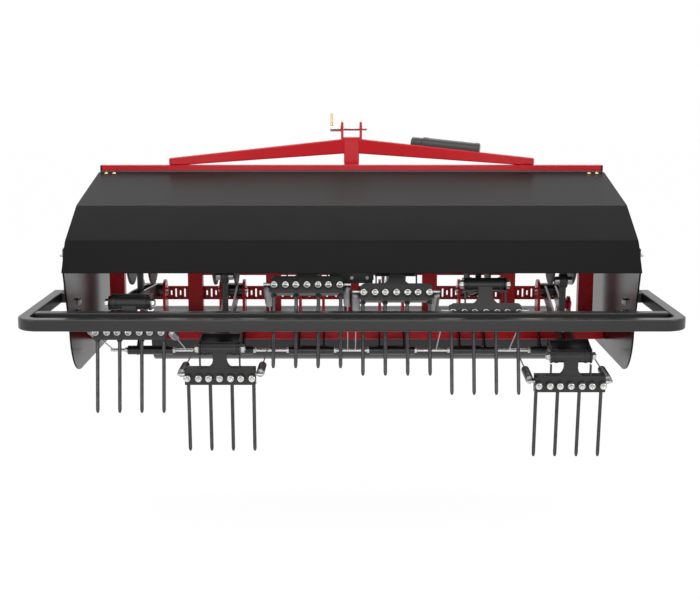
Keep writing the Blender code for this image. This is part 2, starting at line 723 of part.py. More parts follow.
def build_guard():
    outer = GUARD_HALF_WIDTH
    inner = outer - GUARD_TUBE
    outside = corner_points(outer, GUARD_REAR, GUARD_CORNER, GUARD_CORNER_STEPS)
    inside = corner_points(inner, GUARD_REAR + GUARD_TUBE, GUARD_CORNER - GUARD_TUBE, GUARD_CORNER_STEPS)
    ring = [(-outer, GUARD_FRONT)] + [(-x, y) for x, y in outside]
    ring += list(reversed(outside)) + [(outer, GUARD_FRONT)]
    back = [(inner, GUARD_FRONT)] + list(inside)
    back += [(-x, y) for x, y in reversed(inside)] + [(-inner, GUARD_FRONT)]
    bm = bmesh.new()
    low = GUARD_HEIGHT - GUARD_TUBE / 2
    face = bm.faces.new([bm.verts.new((x, y, low)) for x, y in ring + back])
    grown = bmesh.ops.extrude_face_region(bm, geom=[face])
    for item in grown["geom"]:
        if isinstance(item, bmesh.types.BMVert):
            item.co.z = low + GUARD_TUBE
    loop = solid_from(bm)
    tube = box((-inner - THIN_LAP, GUARD_INNER_REAR, low + GUARD_INNER_RECESS),
               (inner + THIN_LAP, GUARD_INNER_REAR + GUARD_TUBE, low + GUARD_TUBE - GUARD_INNER_RECESS))
    finish_part("rear_guard", weld([loop, tube]), "black_paint")


def corner_points(half, rear, radius, steps):
    """Points of a rounded corner, from the side run to the rear run, for the right-hand side."""
    points = []
    for step in range(steps + 1):
        angle = math.radians(90 * step / steps)
        points.append((half - radius + radius * math.cos(angle), rear + radius - radius * math.sin(angle)))
    return points


def build_guard_brackets():
    low = GUARD_HEIGHT - GUARD_TUBE / 2
    shoulder = UPRIGHT_TOP - UPRIGHT_POINT
    foot = low + UPRIGHT_FOOT
    outline = [(-UPRIGHT_HALF, foot), (UPRIGHT_HALF, foot), (UPRIGHT_HALF, shoulder), (0.0, UPRIGHT_TOP),
               (-UPRIGHT_HALF, shoulder)]
    for name, side in (("guard_bracket_left", -1), ("guard_bracket_right", 1)):
        inside = SIDE_PLATE_OUTSIDE + CLEARANCE
        plate = box(*ordered(side, inside, inside + BRACKET_SHEET, (BRACKET_REAR, low - BRACKET_DROP),
                             (BRACKET_FRONT, BRACKET_TOP)))
        spacer = box(*ordered(side, inside + THIN_LAP, GUARD_HALF_WIDTH - GUARD_TUBE - CLEARANCE,
                              (UPRIGHT_Y - SPACER_HALF, low + THIN_LAP),
                              (UPRIGHT_Y + SPACER_HALF, low + GUARD_TUBE - THIN_LAP)))
        upright = upright_plate(outline, UPRIGHT_HALF * 2)
        upright.data.transform(Matrix.Translation((side * UPRIGHT_X, UPRIGHT_Y, 0.0)))
        nub = cross_rod(side * UPRIGHT_X, side * (UPRIGHT_X + UPRIGHT_HALF + NUB_LENGTH), UPRIGHT_Y,
                        UPRIGHT_TOP - NUB_DROP, NUB_RADIUS, BOLT_SIDES)
        pieces = [plate, spacer, upright, nub]
        for y in (BRACKET_REAR + BRACKET_BOLT_INSET, BRACKET_FRONT - BRACKET_BOLT_INSET):
            pieces.append(cross_rod(side * (inside + BRACKET_SHEET / 2),
                                    side * (inside + BRACKET_SHEET + BOLT_LENGTH), y,
                                    BRACKET_TOP - BRACKET_BOLT_INSET, BOLT_RADIUS, BOLT_SIDES))
        finish_part(name, weld(pieces), "black_paint")


def ordered(side, x_near, x_far, low, high):
    low_x, high_x = sorted((side * x_near, side * x_far))
    return (low_x, low[0], low[1]), (high_x, high[0], high[1])


# Crank drive

def build_crankshaft():
    """One shaft with a round cheek on each side of every connecting rod, and the large bevel gear."""
    pieces = [cross_rod(-CRANK_SHAFT_END, CRANK_SHAFT_END, 0.0, 0.0, CRANK_SHAFT_RADIUS, ROUND_SIDES)]
    outer = CRANK_CHEEK_INNER + CRANK_CHEEK_SHEET
    for centre in HEAD_PLACES:
        for side in (-1, 1):
            pieces.append(cross_rod(centre + side * CRANK_CHEEK_INNER, centre + side * outer, 0.0, 0.0,
                                    CRANK_CHEEK_RADIUS, ROUND_SIDES))
    pieces.append(bevel_gear((-1.0, 0.0, 0.0), GEAR_RATIO))
    finish_part("crankshaft", weld(pieces), "machined_steel", (0.0, CRANK_Y, CRANK_Z))


def bevel_gear(heading, ratio):
    """The pitch cone of one bevel gear, with its apex where the two shafts' axes cross."""
    slope = math.atan(ratio)
    heading = Vector(heading)
    far = heading * GEAR_CONE * math.cos(slope)
    near = heading * PINION_CONE * math.cos(slope)
    gap = CLEARANCE
    return rod(far, near, GEAR_CONE * math.sin(slope) - gap, ROUND_SIDES,
               PINION_CONE * math.sin(slope) - gap)


def build_input_shaft():
    start = PINION_CONE * math.cos(math.atan(1 / GEAR_RATIO)) + THIN_LAP
    end = INPUT_SHAFT_END - CRANK_Y
    shaft = rod((0.0, start, 0.0), (0.0, end, 0.0), INPUT_SHAFT_RADIUS, ROUND_SIDES)
    pinion = bevel_gear((0.0, 1.0, 0.0), 1 / GEAR_RATIO)
    finish_part("input_shaft", weld([shaft, pinion]), "machined_steel", (0.0, CRANK_Y, CRANK_Z))


def build_gearbox():
    case = box((-GEARBOX_HALF, GEARBOX_REAR, GEARBOX_BOTTOM), (GEARBOX_HALF, GEARBOX_FRONT, GEARBOX_TOP))
    low = CRANK_Z - SNOUT_HEIGHT / 2
    snout = box((-SNOUT_HALF, GEARBOX_FRONT - WELD_LAP, low),
                (SNOUT_HALF, POST_REAR - CLEARANCE, low + SNOUT_HEIGHT))
    case = weld([case, snout])
    wall = GEARBOX_WALL
    hollow = box((-GEARBOX_HALF + wall, GEARBOX_REAR + wall, GEARBOX_BOTTOM + wall),
                 (GEARBOX_HALF - wall, GEARBOX_FRONT - wall, GEARBOX_TOP - wall))
    shaft_hole = cross_rod(-GEARBOX_HALF - CUT_PAST, GEARBOX_HALF + CUT_PAST, CRANK_Y, CRANK_Z,
                           bore(CRANK_SHAFT_RADIUS, ROUND_SIDES), ROUND_SIDES)
    input_hole = rod((0.0, CRANK_Y + INPUT_BORE_START, CRANK_Z), (0.0, POST_REAR + CUT_PAST, CRANK_Z),
                     bore(INPUT_SHAFT_RADIUS, ROUND_SIDES), ROUND_SIDES)
    finish_part("gearbox", cut(case, [hollow, shaft_hole, input_hole]), "black_casting")


# One tine head with its arm, rod, tines, bolts and springs

def arm_angle(index):
    return math.asin((HEAD_HEIGHTS[index] - ARM_PIVOT_Z) / ARM_LENGTH)


def along_arm(index, distance):
    angle = arm_angle(index)
    return Vector((HEAD_PLACES[index], ARM_PIVOT_Y - distance * math.cos(angle),
                   ARM_PIVOT_Z + distance * math.sin(angle)))


def head_turn(index):
    """Turn of the head about X: its own lean and a share of its arm's angle."""
    return -(math.radians(HEAD_LEAN) + HEAD_LEAN_SHARE * arm_angle(index))


def head_point(index, x, y, z):
    return along_arm(index, ARM_LENGTH) + Matrix.Rotation(head_turn(index), 4, "X") @ Vector((x, y, z))


def rod_angle(index):
    """Lean of the connecting rod from upright, so that it passes behind the crankshaft."""
    joint = along_arm(index, ARM_ROD_PLACE)
    return math.asin((CRANK_Y - ROD_BEHIND_SHAFT - joint.y) / ROD_LENGTH)


def build_arm(index):
    half = ARM_HEIGHT / 2
    bridge_front = -(ARM_LENGTH - FORK_DEPTH)
    pieces = [cross_rod(-ARM_TUBE_HALF, ARM_TUBE_HALF, 0.0, 0.0, ARM_TUBE_RADIUS, SMALL_SIDES)]
    for side in (-1, 1):
        low, high = sorted((side * ARM_PLATE_INNER, side * (ARM_PLATE_INNER + ARM_PLATE_SHEET)))
        plate = box((low, bridge_front - FORK_BRIDGE / 2, -half), (high, -ARM_PLATE_START, half))
        pieces.append(cut(plate, [cross_rod(low - CUT_PAST, high + CUT_PAST, -ARM_ROD_PLACE, 0.0,
                                            bore(ARM_PIN_RADIUS))]))
    pieces.append(box((-FORK_OUTSIDE, bridge_front - FORK_BRIDGE, -FORK_HEIGHT / 2),
                      (FORK_OUTSIDE, bridge_front, FORK_HEIGHT / 2)))
    for side in (-1, 1):
        low, high = sorted((side * FORK_INSIDE, side * FORK_OUTSIDE))
        cheek = flat_plate(cheek_outline(bridge_front - THIN_LAP), low, high)
        pieces.append(cut(cheek, [cross_rod(low - CUT_PAST, high + CUT_PAST, -ARM_LENGTH, 0.0,
                                            bore(PIVOT_STUB_RADIUS))]))
    reach = ARM_LUG_OUTSIDE + ARM_PIN_PROUD
    pieces.append(cross_rod(-reach, reach, 0.0, 0.0, ARM_PIN_RADIUS, SMALL_SIDES))
    finish_part(f"swing_arm_{index + 1}", weld(pieces), "black_paint",
                along_arm(index, 0.0), -arm_angle(index))


def cheek_outline(front):
    radius = FORK_HEIGHT / 2
    arc = []
    for step in range(ARC_STEPS + 1):
        angle = math.radians(90 + 180 * step / ARC_STEPS)
        arc.append((-ARM_LENGTH + radius * math.cos(angle), radius * math.sin(angle)))
    return [(front, radius - FORK_INSET)] + arc + [(front, -radius + FORK_INSET)]


def build_rod(index):
    reach = ARM_PLATE_INNER + ARM_PLATE_SHEET + ROD_PIN_PROUD
    pin_half = CRANK_CHEEK_INNER - CRANK_PIN_GAP
    small_half = ROD_HALF + ROD_SMALL_BOSS
    big_half = ROD_HALF + ROD_BIG_BOSS
    pieces = [box((-ROD_HALF, -ROD_WIDTH / 2, 0.0), (ROD_HALF, ROD_WIDTH / 2, ROD_LENGTH)),
              cross_rod(-small_half, small_half, 0.0, 0.0, ROD_SMALL_END, SMALL_SIDES),
              cross_rod(-big_half, big_half, 0.0, ROD_LENGTH, ROD_BIG_END, ROUND_SIDES),
              cross_rod(-reach, reach, 0.0, 0.0, ARM_PIN_RADIUS, SMALL_SIDES),
              cross_rod(-pin_half, pin_half, 0.0, ROD_LENGTH, CRANK_PIN_RADIUS, SMALL_SIDES)]
    finish_part(f"connecting_rod_{index + 1}", weld(pieces), "black_casting",
                along_arm(index, ARM_ROD_PLACE), -rod_angle(index))


def neck_outline():
    """Front view of the casting's neck, flaring into the plate below."""
    right = [(NECK_HALF, 0.0)]
    for step in range(NECK_STEPS + 1):
        angle = math.radians(90 * step / NECK_STEPS)
        right.append((NECK_HALF + NECK_FOOT * (1 - math.cos(angle)),
                      PLATE_TOP - NECK_LAP + NECK_FOOT * (1 - math.sin(angle))))
    return right + [(-x, z) for x, z in reversed(right)]


def plate_outline():
    """Front view of the casting's plate, with its two upper corners rounded."""
    right = []
    for step in range(CORNER_STEPS + 1):
        angle = math.radians(90 * step / CORNER_STEPS)
        right.append((PLATE_HALF - PLATE_CORNER * (1 - math.cos(angle)),
                      PLATE_TOP - PLATE_CORNER * (1 - math.sin(angle))))
    left = [(-x, z) for x, z in reversed(right)]
    return [(PLATE_HALF, PLATE_BOTTOM)] + right + left + [(-PLATE_HALF, PLATE_BOTTOM)]


def bolt_places():
    return sorted({side * place for place in BOLT_PLACES for side in (-1, 1)})


def build_tine_head(index):
    """Casting with its pivot tube, stub shafts and nuts, and the seven clamp bolts screwed into it."""
    pieces = []
    for outline in (plate_outline(), neck_outline()):
        flat = upright_plate(outline, PLATE_DEPTH)
        flat.data.transform(Matrix.Translation((0.0, PLATE_REAR + PLATE_DEPTH / 2, 0.0)))
        pieces.append(flat)
    pieces.append(cross_rod(-PIVOT_TUBE_HALF, PIVOT_TUBE_HALF, 0.0, 0.0, PIVOT_TUBE_RADIUS, ROUND_SIDES))
    nut = FORK_OUTSIDE + CLEARANCE
    pieces.append(cross_rod(-nut - PIVOT_NUT_LENGTH / 2, nut + PIVOT_NUT_LENGTH / 2, 0.0, 0.0,
                            PIVOT_STUB_RADIUS))
    for side in (-1, 1):
        pieces.append(cross_rod(side * nut, side * (nut + PIVOT_NUT_LENGTH), 0.0, 0.0, PIVOT_NUT_RADIUS, 6))
        pieces.append(cross_rod(side * (PLATE_HALF - STUD_RADIUS), side * (PLATE_HALF + STUD_LENGTH),
                                STUD_FORWARD,
                                STUD_HEIGHT, STUD_RADIUS))
    for x in bolt_places():
        pieces.append(rod((x, PLATE_REAR + PLATE_DEPTH / 4, CLAMP_BOLT_HEIGHT),
                          (x, PLATE_REAR - CLAMP_BOLT_LENGTH, CLAMP_BOLT_HEIGHT), BOLT_RADIUS, BOLT_SIDES))
    finish_part(f"tine_head_{index + 1}", weld(pieces), "black_casting",
                along_arm(index, ARM_LENGTH), head_turn(index))


def build_tine_set(index):
    """The clamp bar with its four tines, drawn up against the front of the casting."""
    rear = PLATE_REAR + PLATE_DEPTH + CLEARANCE
    pieces = [box((-PLATE_HALF, rear, PLATE_BOTTOM), (PLATE_HALF, rear + CLAMP_DEPTH, CLAMP_TOP))]
    middle = rear + CLAMP_DEPTH / 2
    bottom = PLATE_BOTTOM - TINE_BELOW_PLATE
    for tine in range(TINES_PER_HEAD):
        x = (tine - (TINES_PER_HEAD - 1) / 2) * TINE_PITCH
        pieces.append(rod((x, middle, PLATE_BOTTOM + TINE_TIP), (x, middle, bottom + TINE_TIP), TINE_RADIUS,
                          TINE_SIDES))
        pieces.append(rod((x, middle, bottom + TINE_TIP + TINE_LAP), (x, middle, bottom),
                          TINE_RADIUS - CLEARANCE / 4,
                          TINE_SIDES, TINE_RADIUS * TINE_TIP_SHARE))
    finish_part(f"tine_set_{index + 1}", weld(pieces), "tine_steel", along_arm(index, ARM_LENGTH),
                head_turn(index))


def spring_points(start, end):
    """Wire centre line: a straight lead, a coil, and a straight lead to the anchor."""
    axis = (end - start).normalized()
    side = axis.cross(Vector((1.0, 0.0, 0.0))).normalized()
    upright = axis.cross(side)
    points = [start, start + axis * (SPRING_LEAD / 2)]
    count = SPRING_CURLS * POINTS_PER_CURL
    pitch = ((end - start).length - 2 * SPRING_LEAD) / SPRING_CURLS
    for step in range(count + 1):
        angle = 2 * math.pi * step / POINTS_PER_CURL
        ease = min(1.0, 2 * step / POINTS_PER_CURL, 2 * (count - step) / POINTS_PER_CURL)
        radius = SPRING_RADIUS * ease
        along = SPRING_LEAD + pitch * step / POINTS_PER_CURL
        turn = side * math.cos(angle) + upright * math.sin(angle)
        points.append(start + axis * along + turn * radius)
    points.append(end - axis * (SPRING_LEAD / 2))
    points.append(end)
    return points


def self_gap(points):
    """Least free distance between two stretches of wire that are half a curl or more apart."""
    least = math.inf
    apart = POINTS_PER_CURL // 2 + 1
    for first in range(len(points)):
        for second in range(first + apart, len(points)):
            least = min(least, (points[first] - points[second]).length)
    return least - 2 * SPRING_WIRE


def wire(points):
    curve = bpy.data.curves.new("wire", "CURVE")
    curve.dimensions = "3D"
    curve.bevel_depth = SPRING_WIRE
    curve.bevel_resolution = 1
    curve.use_fill_caps = True
    line = curve.splines.new("POLY")
    line.points.add(len(points) - 1)
    for spot, point in zip(line.points, points):
        spot.co = (*point, 1.0)
    holder = bpy.data.objects.new("wire", curve)
    CUTTERS.objects.link(holder)
    mesh = evaluated_mesh(holder)
    bpy.data.objects.remove(holder, do_unlink=True)
    bm = bmesh.new()
    bm.from_mesh(mesh)
    bmesh.ops.remove_doubles(bm, verts=bm.verts, dist=0.00001)
    return solid_from(bm)


def build_springs(index):
    centre = HEAD_PLACES[index]
    for name, side in (("left", -1), ("right", 1)):
        stud = head_point(index, side * SPRING_SIDE, STUD_FORWARD, STUD_HEIGHT)
        anchor = Vector((centre + side * SPRING_SIDE, ANCHOR_Y, ANCHOR_Z))
        axis = (anchor - stud).normalized()
        start = stud + axis * (STUD_RADIUS + CLEARANCE)
        end = anchor - axis * (ANCHOR_ROD_RADIUS + CLEARANCE)
        points = spring_points(start, end)
        print(f"spring {index + 1} {name}: least gap to itself {self_gap(points) * 1000:.2f} mm")
        finish_part(f"return_spring_{index + 1}_{name}", wire(points), "spring_steel")


def build_spring_anchor_bar():
    """One rod across the machine with a sleeve and two plates for each head, bolted to the lower beam."""
    pieces = [cross_rod(HEAD_PLACES[0] - ANCHOR_ROD_END, HEAD_PLACES[-1] + ANCHOR_ROD_END, ANCHOR_Y,
                        ANCHOR_Z,
                        ANCHOR_ROD_RADIUS, BOLT_SIDES)]
    for centre in HEAD_PLACES:
        pieces.append(cross_rod(centre - ANCHOR_TUBE_HALF, centre + ANCHOR_TUBE_HALF, ANCHOR_Y, ANCHOR_Z,
                                ANCHOR_TUBE_RADIUS, TINE_SIDES))
        for side in (-1, 1):
            place = centre + side * ANCHOR_PLATE_PLACE
            pieces.append(box((place - ANCHOR_PLATE_SHEET / 2, ANCHOR_PLATE_REAR, ANCHOR_PLATE_BOTTOM),
                              (place + ANCHOR_PLATE_SHEET / 2, BEAM_REAR - CLEARANCE, ANCHOR_PLATE_TOP)))
    finish_part("spring_anchor_bar", weld(pieces), "black_paint")


# Depth roller and its arms

def build_roller():
    drum = cross_rod(-ROLLER_HALF, ROLLER_HALF, 0.0, 0.0, ROLLER_RADIUS, ROUND_SIDES)
    axle_half = ROLLER_ARM_INNER + ROLLER_ARM_SHEET + ROLLER_PIN_PROUD
    axle = cross_rod(-axle_half, axle_half, 0.0, 0.0, ROLLER_AXLE_RADIUS, ROUND_SIDES)
    finish_part("depth_roller", weld([drum, axle]), "black_paint", (0.0, ROLLER_Y, ROLLER_Z))


def roller_arm_outline():
    half = ROLLER_ARM_WIDTH / 2
    elbow = ROLLER_ELBOW_Y - ROLLER_PIVOT_Y
    drop_y = ROLLER_Y - ROLLER_PIVOT_Y
    drop_z = ROLLER_Z - ROLLER_PIVOT_Z
    return [(-half, -half), (elbow - half * 0.6, -half), (drop_y - half * 1.4, drop_z - half * 0.4),
            (drop_y - half, drop_z - half * 1.3), (drop_y + half * 0.6, drop_z - half * 1.3),
            (drop_y + half * 1.4, drop_z), (elbow + half * 1.2, half), (-half, half)]


def build_roller_arms():
    for name, side in (("roller_arm_left", -1), ("roller_arm_right", 1)):
        low, high = sorted((side * ROLLER_ARM_INNER, side * (ROLLER_ARM_INNER + ROLLER_ARM_SHEET)))
        plate = flat_plate(roller_arm_outline(), low, high)
        pin_end = ROLLER_ARM_INNER + ROLLER_ARM_SHEET * 2 + CLEARANCE + ROLLER_PIN_PROUD
        pin_low, pin_high = sorted((side * (ROLLER_ARM_INNER + TINE_LAP), side * pin_end))
        plate = weld([plate, cross_rod(pin_low, pin_high, 0.0, 0.0, ROLLER_PIN_RADIUS, SMALL_SIDES)])
        axle_bore = cross_rod(low - CUT_PAST, high + CUT_PAST, ROLLER_Y - ROLLER_PIVOT_Y,
                              ROLLER_Z - ROLLER_PIVOT_Z,
                              bore(ROLLER_AXLE_RADIUS, ROUND_SIDES), ROUND_SIDES)
        finish_part(name, cut(plate, [axle_bore]), "red_paint", (0.0, ROLLER_PIVOT_Y, ROLLER_PIVOT_Z))


# Manual tube with its screw cap, on the front of the right brace

def tube_frame():
    """Origin and heading of the manual tube, beside the right brace and level with its slope."""
    foot, apex = brace_direction()
    run = foot - apex
    rise = BRACE_FOOT_HEIGHT + TOP_BEAM_TOP + CLEARANCE - APEX_TOP
    heading = Vector((run.x, run.y, rise)).normalized()
    outward = Vector((run.y, -run.x, 0.0)).normalized()
    if outward.y < 0:
        outward = -outward
    level = run.normalized() * TUBE_START
    start = Vector((apex.x, apex.y, APEX_TOP)) + level + Vector((0, 0, rise * TUBE_START / run.length))
    flat = TUBE_RADIUS * math.cos(math.pi / ROUND_SIDES)
    start += outward * (BRACE_THICKNESS / 2 + CLEARANCE + flat)
    return start, heading


def build_manual_tube():
    start, heading = tube_frame()
    body = rod(start + heading * TUBE_CAP_LENGTH, start + heading * (TUBE_CAP_LENGTH + TUBE_LENGTH),
               TUBE_RADIUS, ROUND_SIDES)
    neck = rod(start + heading * TUBE_CAP_TOP, start + heading * (TUBE_CAP_LENGTH + WELD_LAP),
               TUBE_NECK_RADIUS,
               ROUND_SIDES)
    tube = weld([body, neck])
    hollow = rod(start - heading * CUT_PAST, start + heading * (TUBE_CAP_LENGTH + TUBE_LENGTH - TUBE_BASE),
                 TUBE_NECK_RADIUS - TUBE_WALL, ROUND_SIDES)
    finish_part("manual_tube", cut(tube, [hollow]), "black_plastic")
    cap = rod(start, start + heading * (TUBE_CAP_LENGTH - CLEARANCE), TUBE_NECK_RADIUS + TUBE_CAP_WALL,
              ROUND_SIDES)
    socket = rod(start + heading * (TUBE_CAP_TOP - CLEARANCE),
                 start + heading * (TUBE_CAP_LENGTH + CUT_PAST),
                 TUBE_NECK_RADIUS + CLEARANCE, ROUND_SIDES)
    finish_part("manual_tube_cap", cut(cap, [socket]), "black_plastic")


build_hood()
build_hood_hinge_rod()
build_side_plates()
build_top_beam()
build_main_frame()
build_slotted_bar()
build_hitch_frame()
build_lower_hitch_pins()
build_headstock()
build_top_link_pin()
build_guard()
build_guard_brackets()
build_crankshaft()
build_input_shaft()
build_gearbox()
for head in range(HEAD_COUNT):
    build_arm(head)
    build_rod(head)
    build_tine_head(head)
    build_tine_set(head)
    build_springs(head)
build_spring_anchor_bar()
build_roller()
build_roller_arms()
build_manual_tube()
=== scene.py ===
"""Looks of the tractor-mounted deep tine aerator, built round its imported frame."""

from __future__ import annotations

import json
import logging
import math
from dataclasses import dataclass
from enum import Enum

import bmesh
import bpy
from mathutils import Matrix, Vector
from mathutils.geometry import tessellate_polygon

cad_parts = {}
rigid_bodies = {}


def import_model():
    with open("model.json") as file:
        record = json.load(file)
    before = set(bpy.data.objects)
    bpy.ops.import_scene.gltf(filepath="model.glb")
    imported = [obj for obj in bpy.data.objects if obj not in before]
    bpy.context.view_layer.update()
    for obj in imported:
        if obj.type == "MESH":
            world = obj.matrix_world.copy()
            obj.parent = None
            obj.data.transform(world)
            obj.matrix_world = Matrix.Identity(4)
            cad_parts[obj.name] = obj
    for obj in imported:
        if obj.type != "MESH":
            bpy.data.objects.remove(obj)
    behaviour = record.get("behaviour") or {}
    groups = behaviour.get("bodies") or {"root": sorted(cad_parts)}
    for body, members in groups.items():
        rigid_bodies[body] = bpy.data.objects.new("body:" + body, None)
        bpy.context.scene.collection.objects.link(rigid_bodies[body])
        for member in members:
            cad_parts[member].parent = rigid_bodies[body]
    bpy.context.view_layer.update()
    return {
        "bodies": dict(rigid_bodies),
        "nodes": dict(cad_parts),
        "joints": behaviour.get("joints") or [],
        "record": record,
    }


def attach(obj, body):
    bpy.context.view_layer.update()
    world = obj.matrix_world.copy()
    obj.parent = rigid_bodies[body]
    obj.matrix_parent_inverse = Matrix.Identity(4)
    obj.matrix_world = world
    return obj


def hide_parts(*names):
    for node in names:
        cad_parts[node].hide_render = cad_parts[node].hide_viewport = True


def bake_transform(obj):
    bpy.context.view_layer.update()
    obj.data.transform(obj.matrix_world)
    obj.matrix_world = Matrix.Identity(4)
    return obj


Colour = tuple[float, float, float]
Point = tuple[float, float]
Outline = list[Point]
Spot = tuple[float, float, float] | Vector

LOG = logging.getLogger("aerator")
MACHINE_TO_FRAME = Matrix.Translation((0.0, -0.880, -0.400))
FRAME_TO_MACHINE = MACHINE_TO_FRAME.inverted()
SIDES = (("left", -1), ("right", 1))
HEAD_COUNT = 6
HEAD_PITCH = 0.3048
HEAD_PLACES = tuple((i - (HEAD_COUNT - 1) / 2) * HEAD_PITCH for i in range(HEAD_COUNT))
HEAD_LEAN = math.radians(6.0)
HEAD_LEAN_SHARE = 0.7
CRANK = (0.260, 0.500)
ANCHOR = (0.375, 0.109)
ROLLER_PIVOT = (0.500, 0.265)
BRACE_FOOT = Vector((0.710, 0.6321, 0.0))
BRACE_APEX = Vector((0.018, 0.780, 0.0))
BRACE_TOP = 0.885
BRACE_HALF = 0.020
BRACE_END = 0.026
BEAM_TOP = 0.790
SEAM = 0.0003
SMOOTH_ANGLE = math.radians(50)
BEVEL_ANGLE = math.radians(38)
FLAT_ANGLE = math.radians(0.5)
RELIEF_DEPTH = 0.0006
COAT_ROUGHNESS = 0.08


class Surface(Enum):
    """The ways a surface is finished."""

    PAINT = "paint"
    CASTING = "casting"
    METAL = "metal"
    PLASTIC = "plastic"


@dataclass(frozen=True)
class Finish:
    """One finish of the machine: its colour, gloss and fine relief."""

    name: str
    slot: str
    surface: Surface
    colour: Colour
    tint: Colour
    roughness: float
    scale: float
    relief: float
    coat: float = 0.0
    gloss: float = 0.5


RED_PAINT = Finish("red_paint_film", "red_paint", Surface.PAINT, (0.52, 0.008, 0.014), (0.42, 0.006, 0.012),
                   0.26, 260.0, 0.05, 0.04, 0.14)
HOOD_BLACK = Finish("hood_black_film", "black_paint", Surface.PAINT, (0.0085, 0.0085, 0.0090),
                    (0.0060, 0.0060, 0.0065), 0.30, 420.0, 0.04, 0.0, 0.03)
SATIN_BLACK = Finish("satin_black_film", "black_paint", Surface.PAINT, (0.0085, 0.0085, 0.0090),
                     (0.0060, 0.0060, 0.0065), 0.34, 420.0, 0.04)
GLOSS_BLACK = Finish("gloss_black_film", "black_paint", Surface.PAINT, (0.0060, 0.0060, 0.0065),
                     (0.0045, 0.0045, 0.0050), 0.20, 260.0, 0.03, 0.0, 0.12)
SHADED_BLACK = Finish("shaded_black_film", "black_paint", Surface.PAINT, (0.010, 0.010, 0.0105),
                      (0.007, 0.007, 0.0075), 0.30, 300.0, 0.05, 0.1)
BLACK_CASTING = Finish("black_casting_skin", "black_casting", Surface.CASTING, (0.016, 0.016, 0.017),
                       (0.010, 0.010, 0.011), 0.42, 700.0, 0.22)
ZINC = Finish("zinc_plate", "zinc", Surface.METAL, (0.66, 0.66, 0.64), (0.50, 0.50, 0.49), 0.27, 300.0, 0.05)
YELLOW_ZINC = Finish("yellow_zinc_plate", "zinc", Surface.METAL, (0.66, 0.50, 0.22), (0.55, 0.38, 0.20),
                     0.30, 240.0, 0.05)
SPRING_STEEL = Finish("spring_wire_steel", "spring_steel", Surface.METAL, (0.36, 0.36, 0.37),
                      (0.22, 0.22, 0.23), 0.34, 500.0, 0.06)
TINE_STEEL = Finish("tine_bar_steel", "tine_steel", Surface.METAL, (0.090, 0.090, 0.096),
                    (0.055, 0.055, 0.060), 0.36, 350.0, 0.08)
MACHINED_STEEL = Finish("machined_shaft_steel", "machined_steel", Surface.METAL, (0.38, 0.38, 0.39),
                        (0.26, 0.26, 0.27), 0.32, 300.0, 0.06)
FORGED_STEEL = Finish("forged_crank_skin", "machined_steel", Surface.CASTING, (0.030, 0.029, 0.028),
                      (0.018, 0.018, 0.018), 0.45, 500.0, 0.15, 0.0, 0.3)
BLACK_PLASTIC = Finish("moulded_black_plastic", "black_plastic", Surface.PLASTIC, (0.013, 0.013, 0.014),
                       (0.009, 0.009, 0.010), 0.40, 500.0, 0.10)


def feed(tree: bpy.types.NodeTree, node: bpy.types.Node, inputs: dict[str | int, object]) -> None:
    """Fill a node's inputs.

    Args:
        tree: the tree that holds the node.
        node: the node.
        inputs: a plain value, or a socket to join, for each input's name or number.
    """
    for label, value in inputs.items():
        if isinstance(value, bpy.types.NodeSocket):
            tree.links.new(value, node.inputs[label])
        else:
            node.inputs[label].default_value = value


def wire(tree: bpy.types.NodeTree, kind: str, inputs: dict[str | int, object] | None = None,
         **settings: object) -> bpy.types.Node:
    """Add a node to a tree.

    Args:
        tree: the tree.
        kind: the node's type.
        inputs: what its inputs get, as in feed.
        settings: the node's own settings, made first.

    Returns:
        The node.
    """
    node = tree.nodes.new(kind)
    for label, value in settings.items():
        setattr(node, label, value)
    feed(tree, node, inputs or {})
    return node


@dataclass(frozen=True)
class Skin:
    """The fine and slow patterns of a kind of surface."""

    name: str
    fine_detail: float
    patch_scale: float
    patch_detail: float
    rough_low: float
    rough_high: float


FILM = Skin("sprayed_film", 2.0, 5.0, 4.0, -0.03, 0.04)
GRAIN = Skin("steel_grain", 5.0, 38.0, 3.0, -0.06, 0.10)
DUST_COLOUR = (0.42, 0.40, 0.38, 1.0)


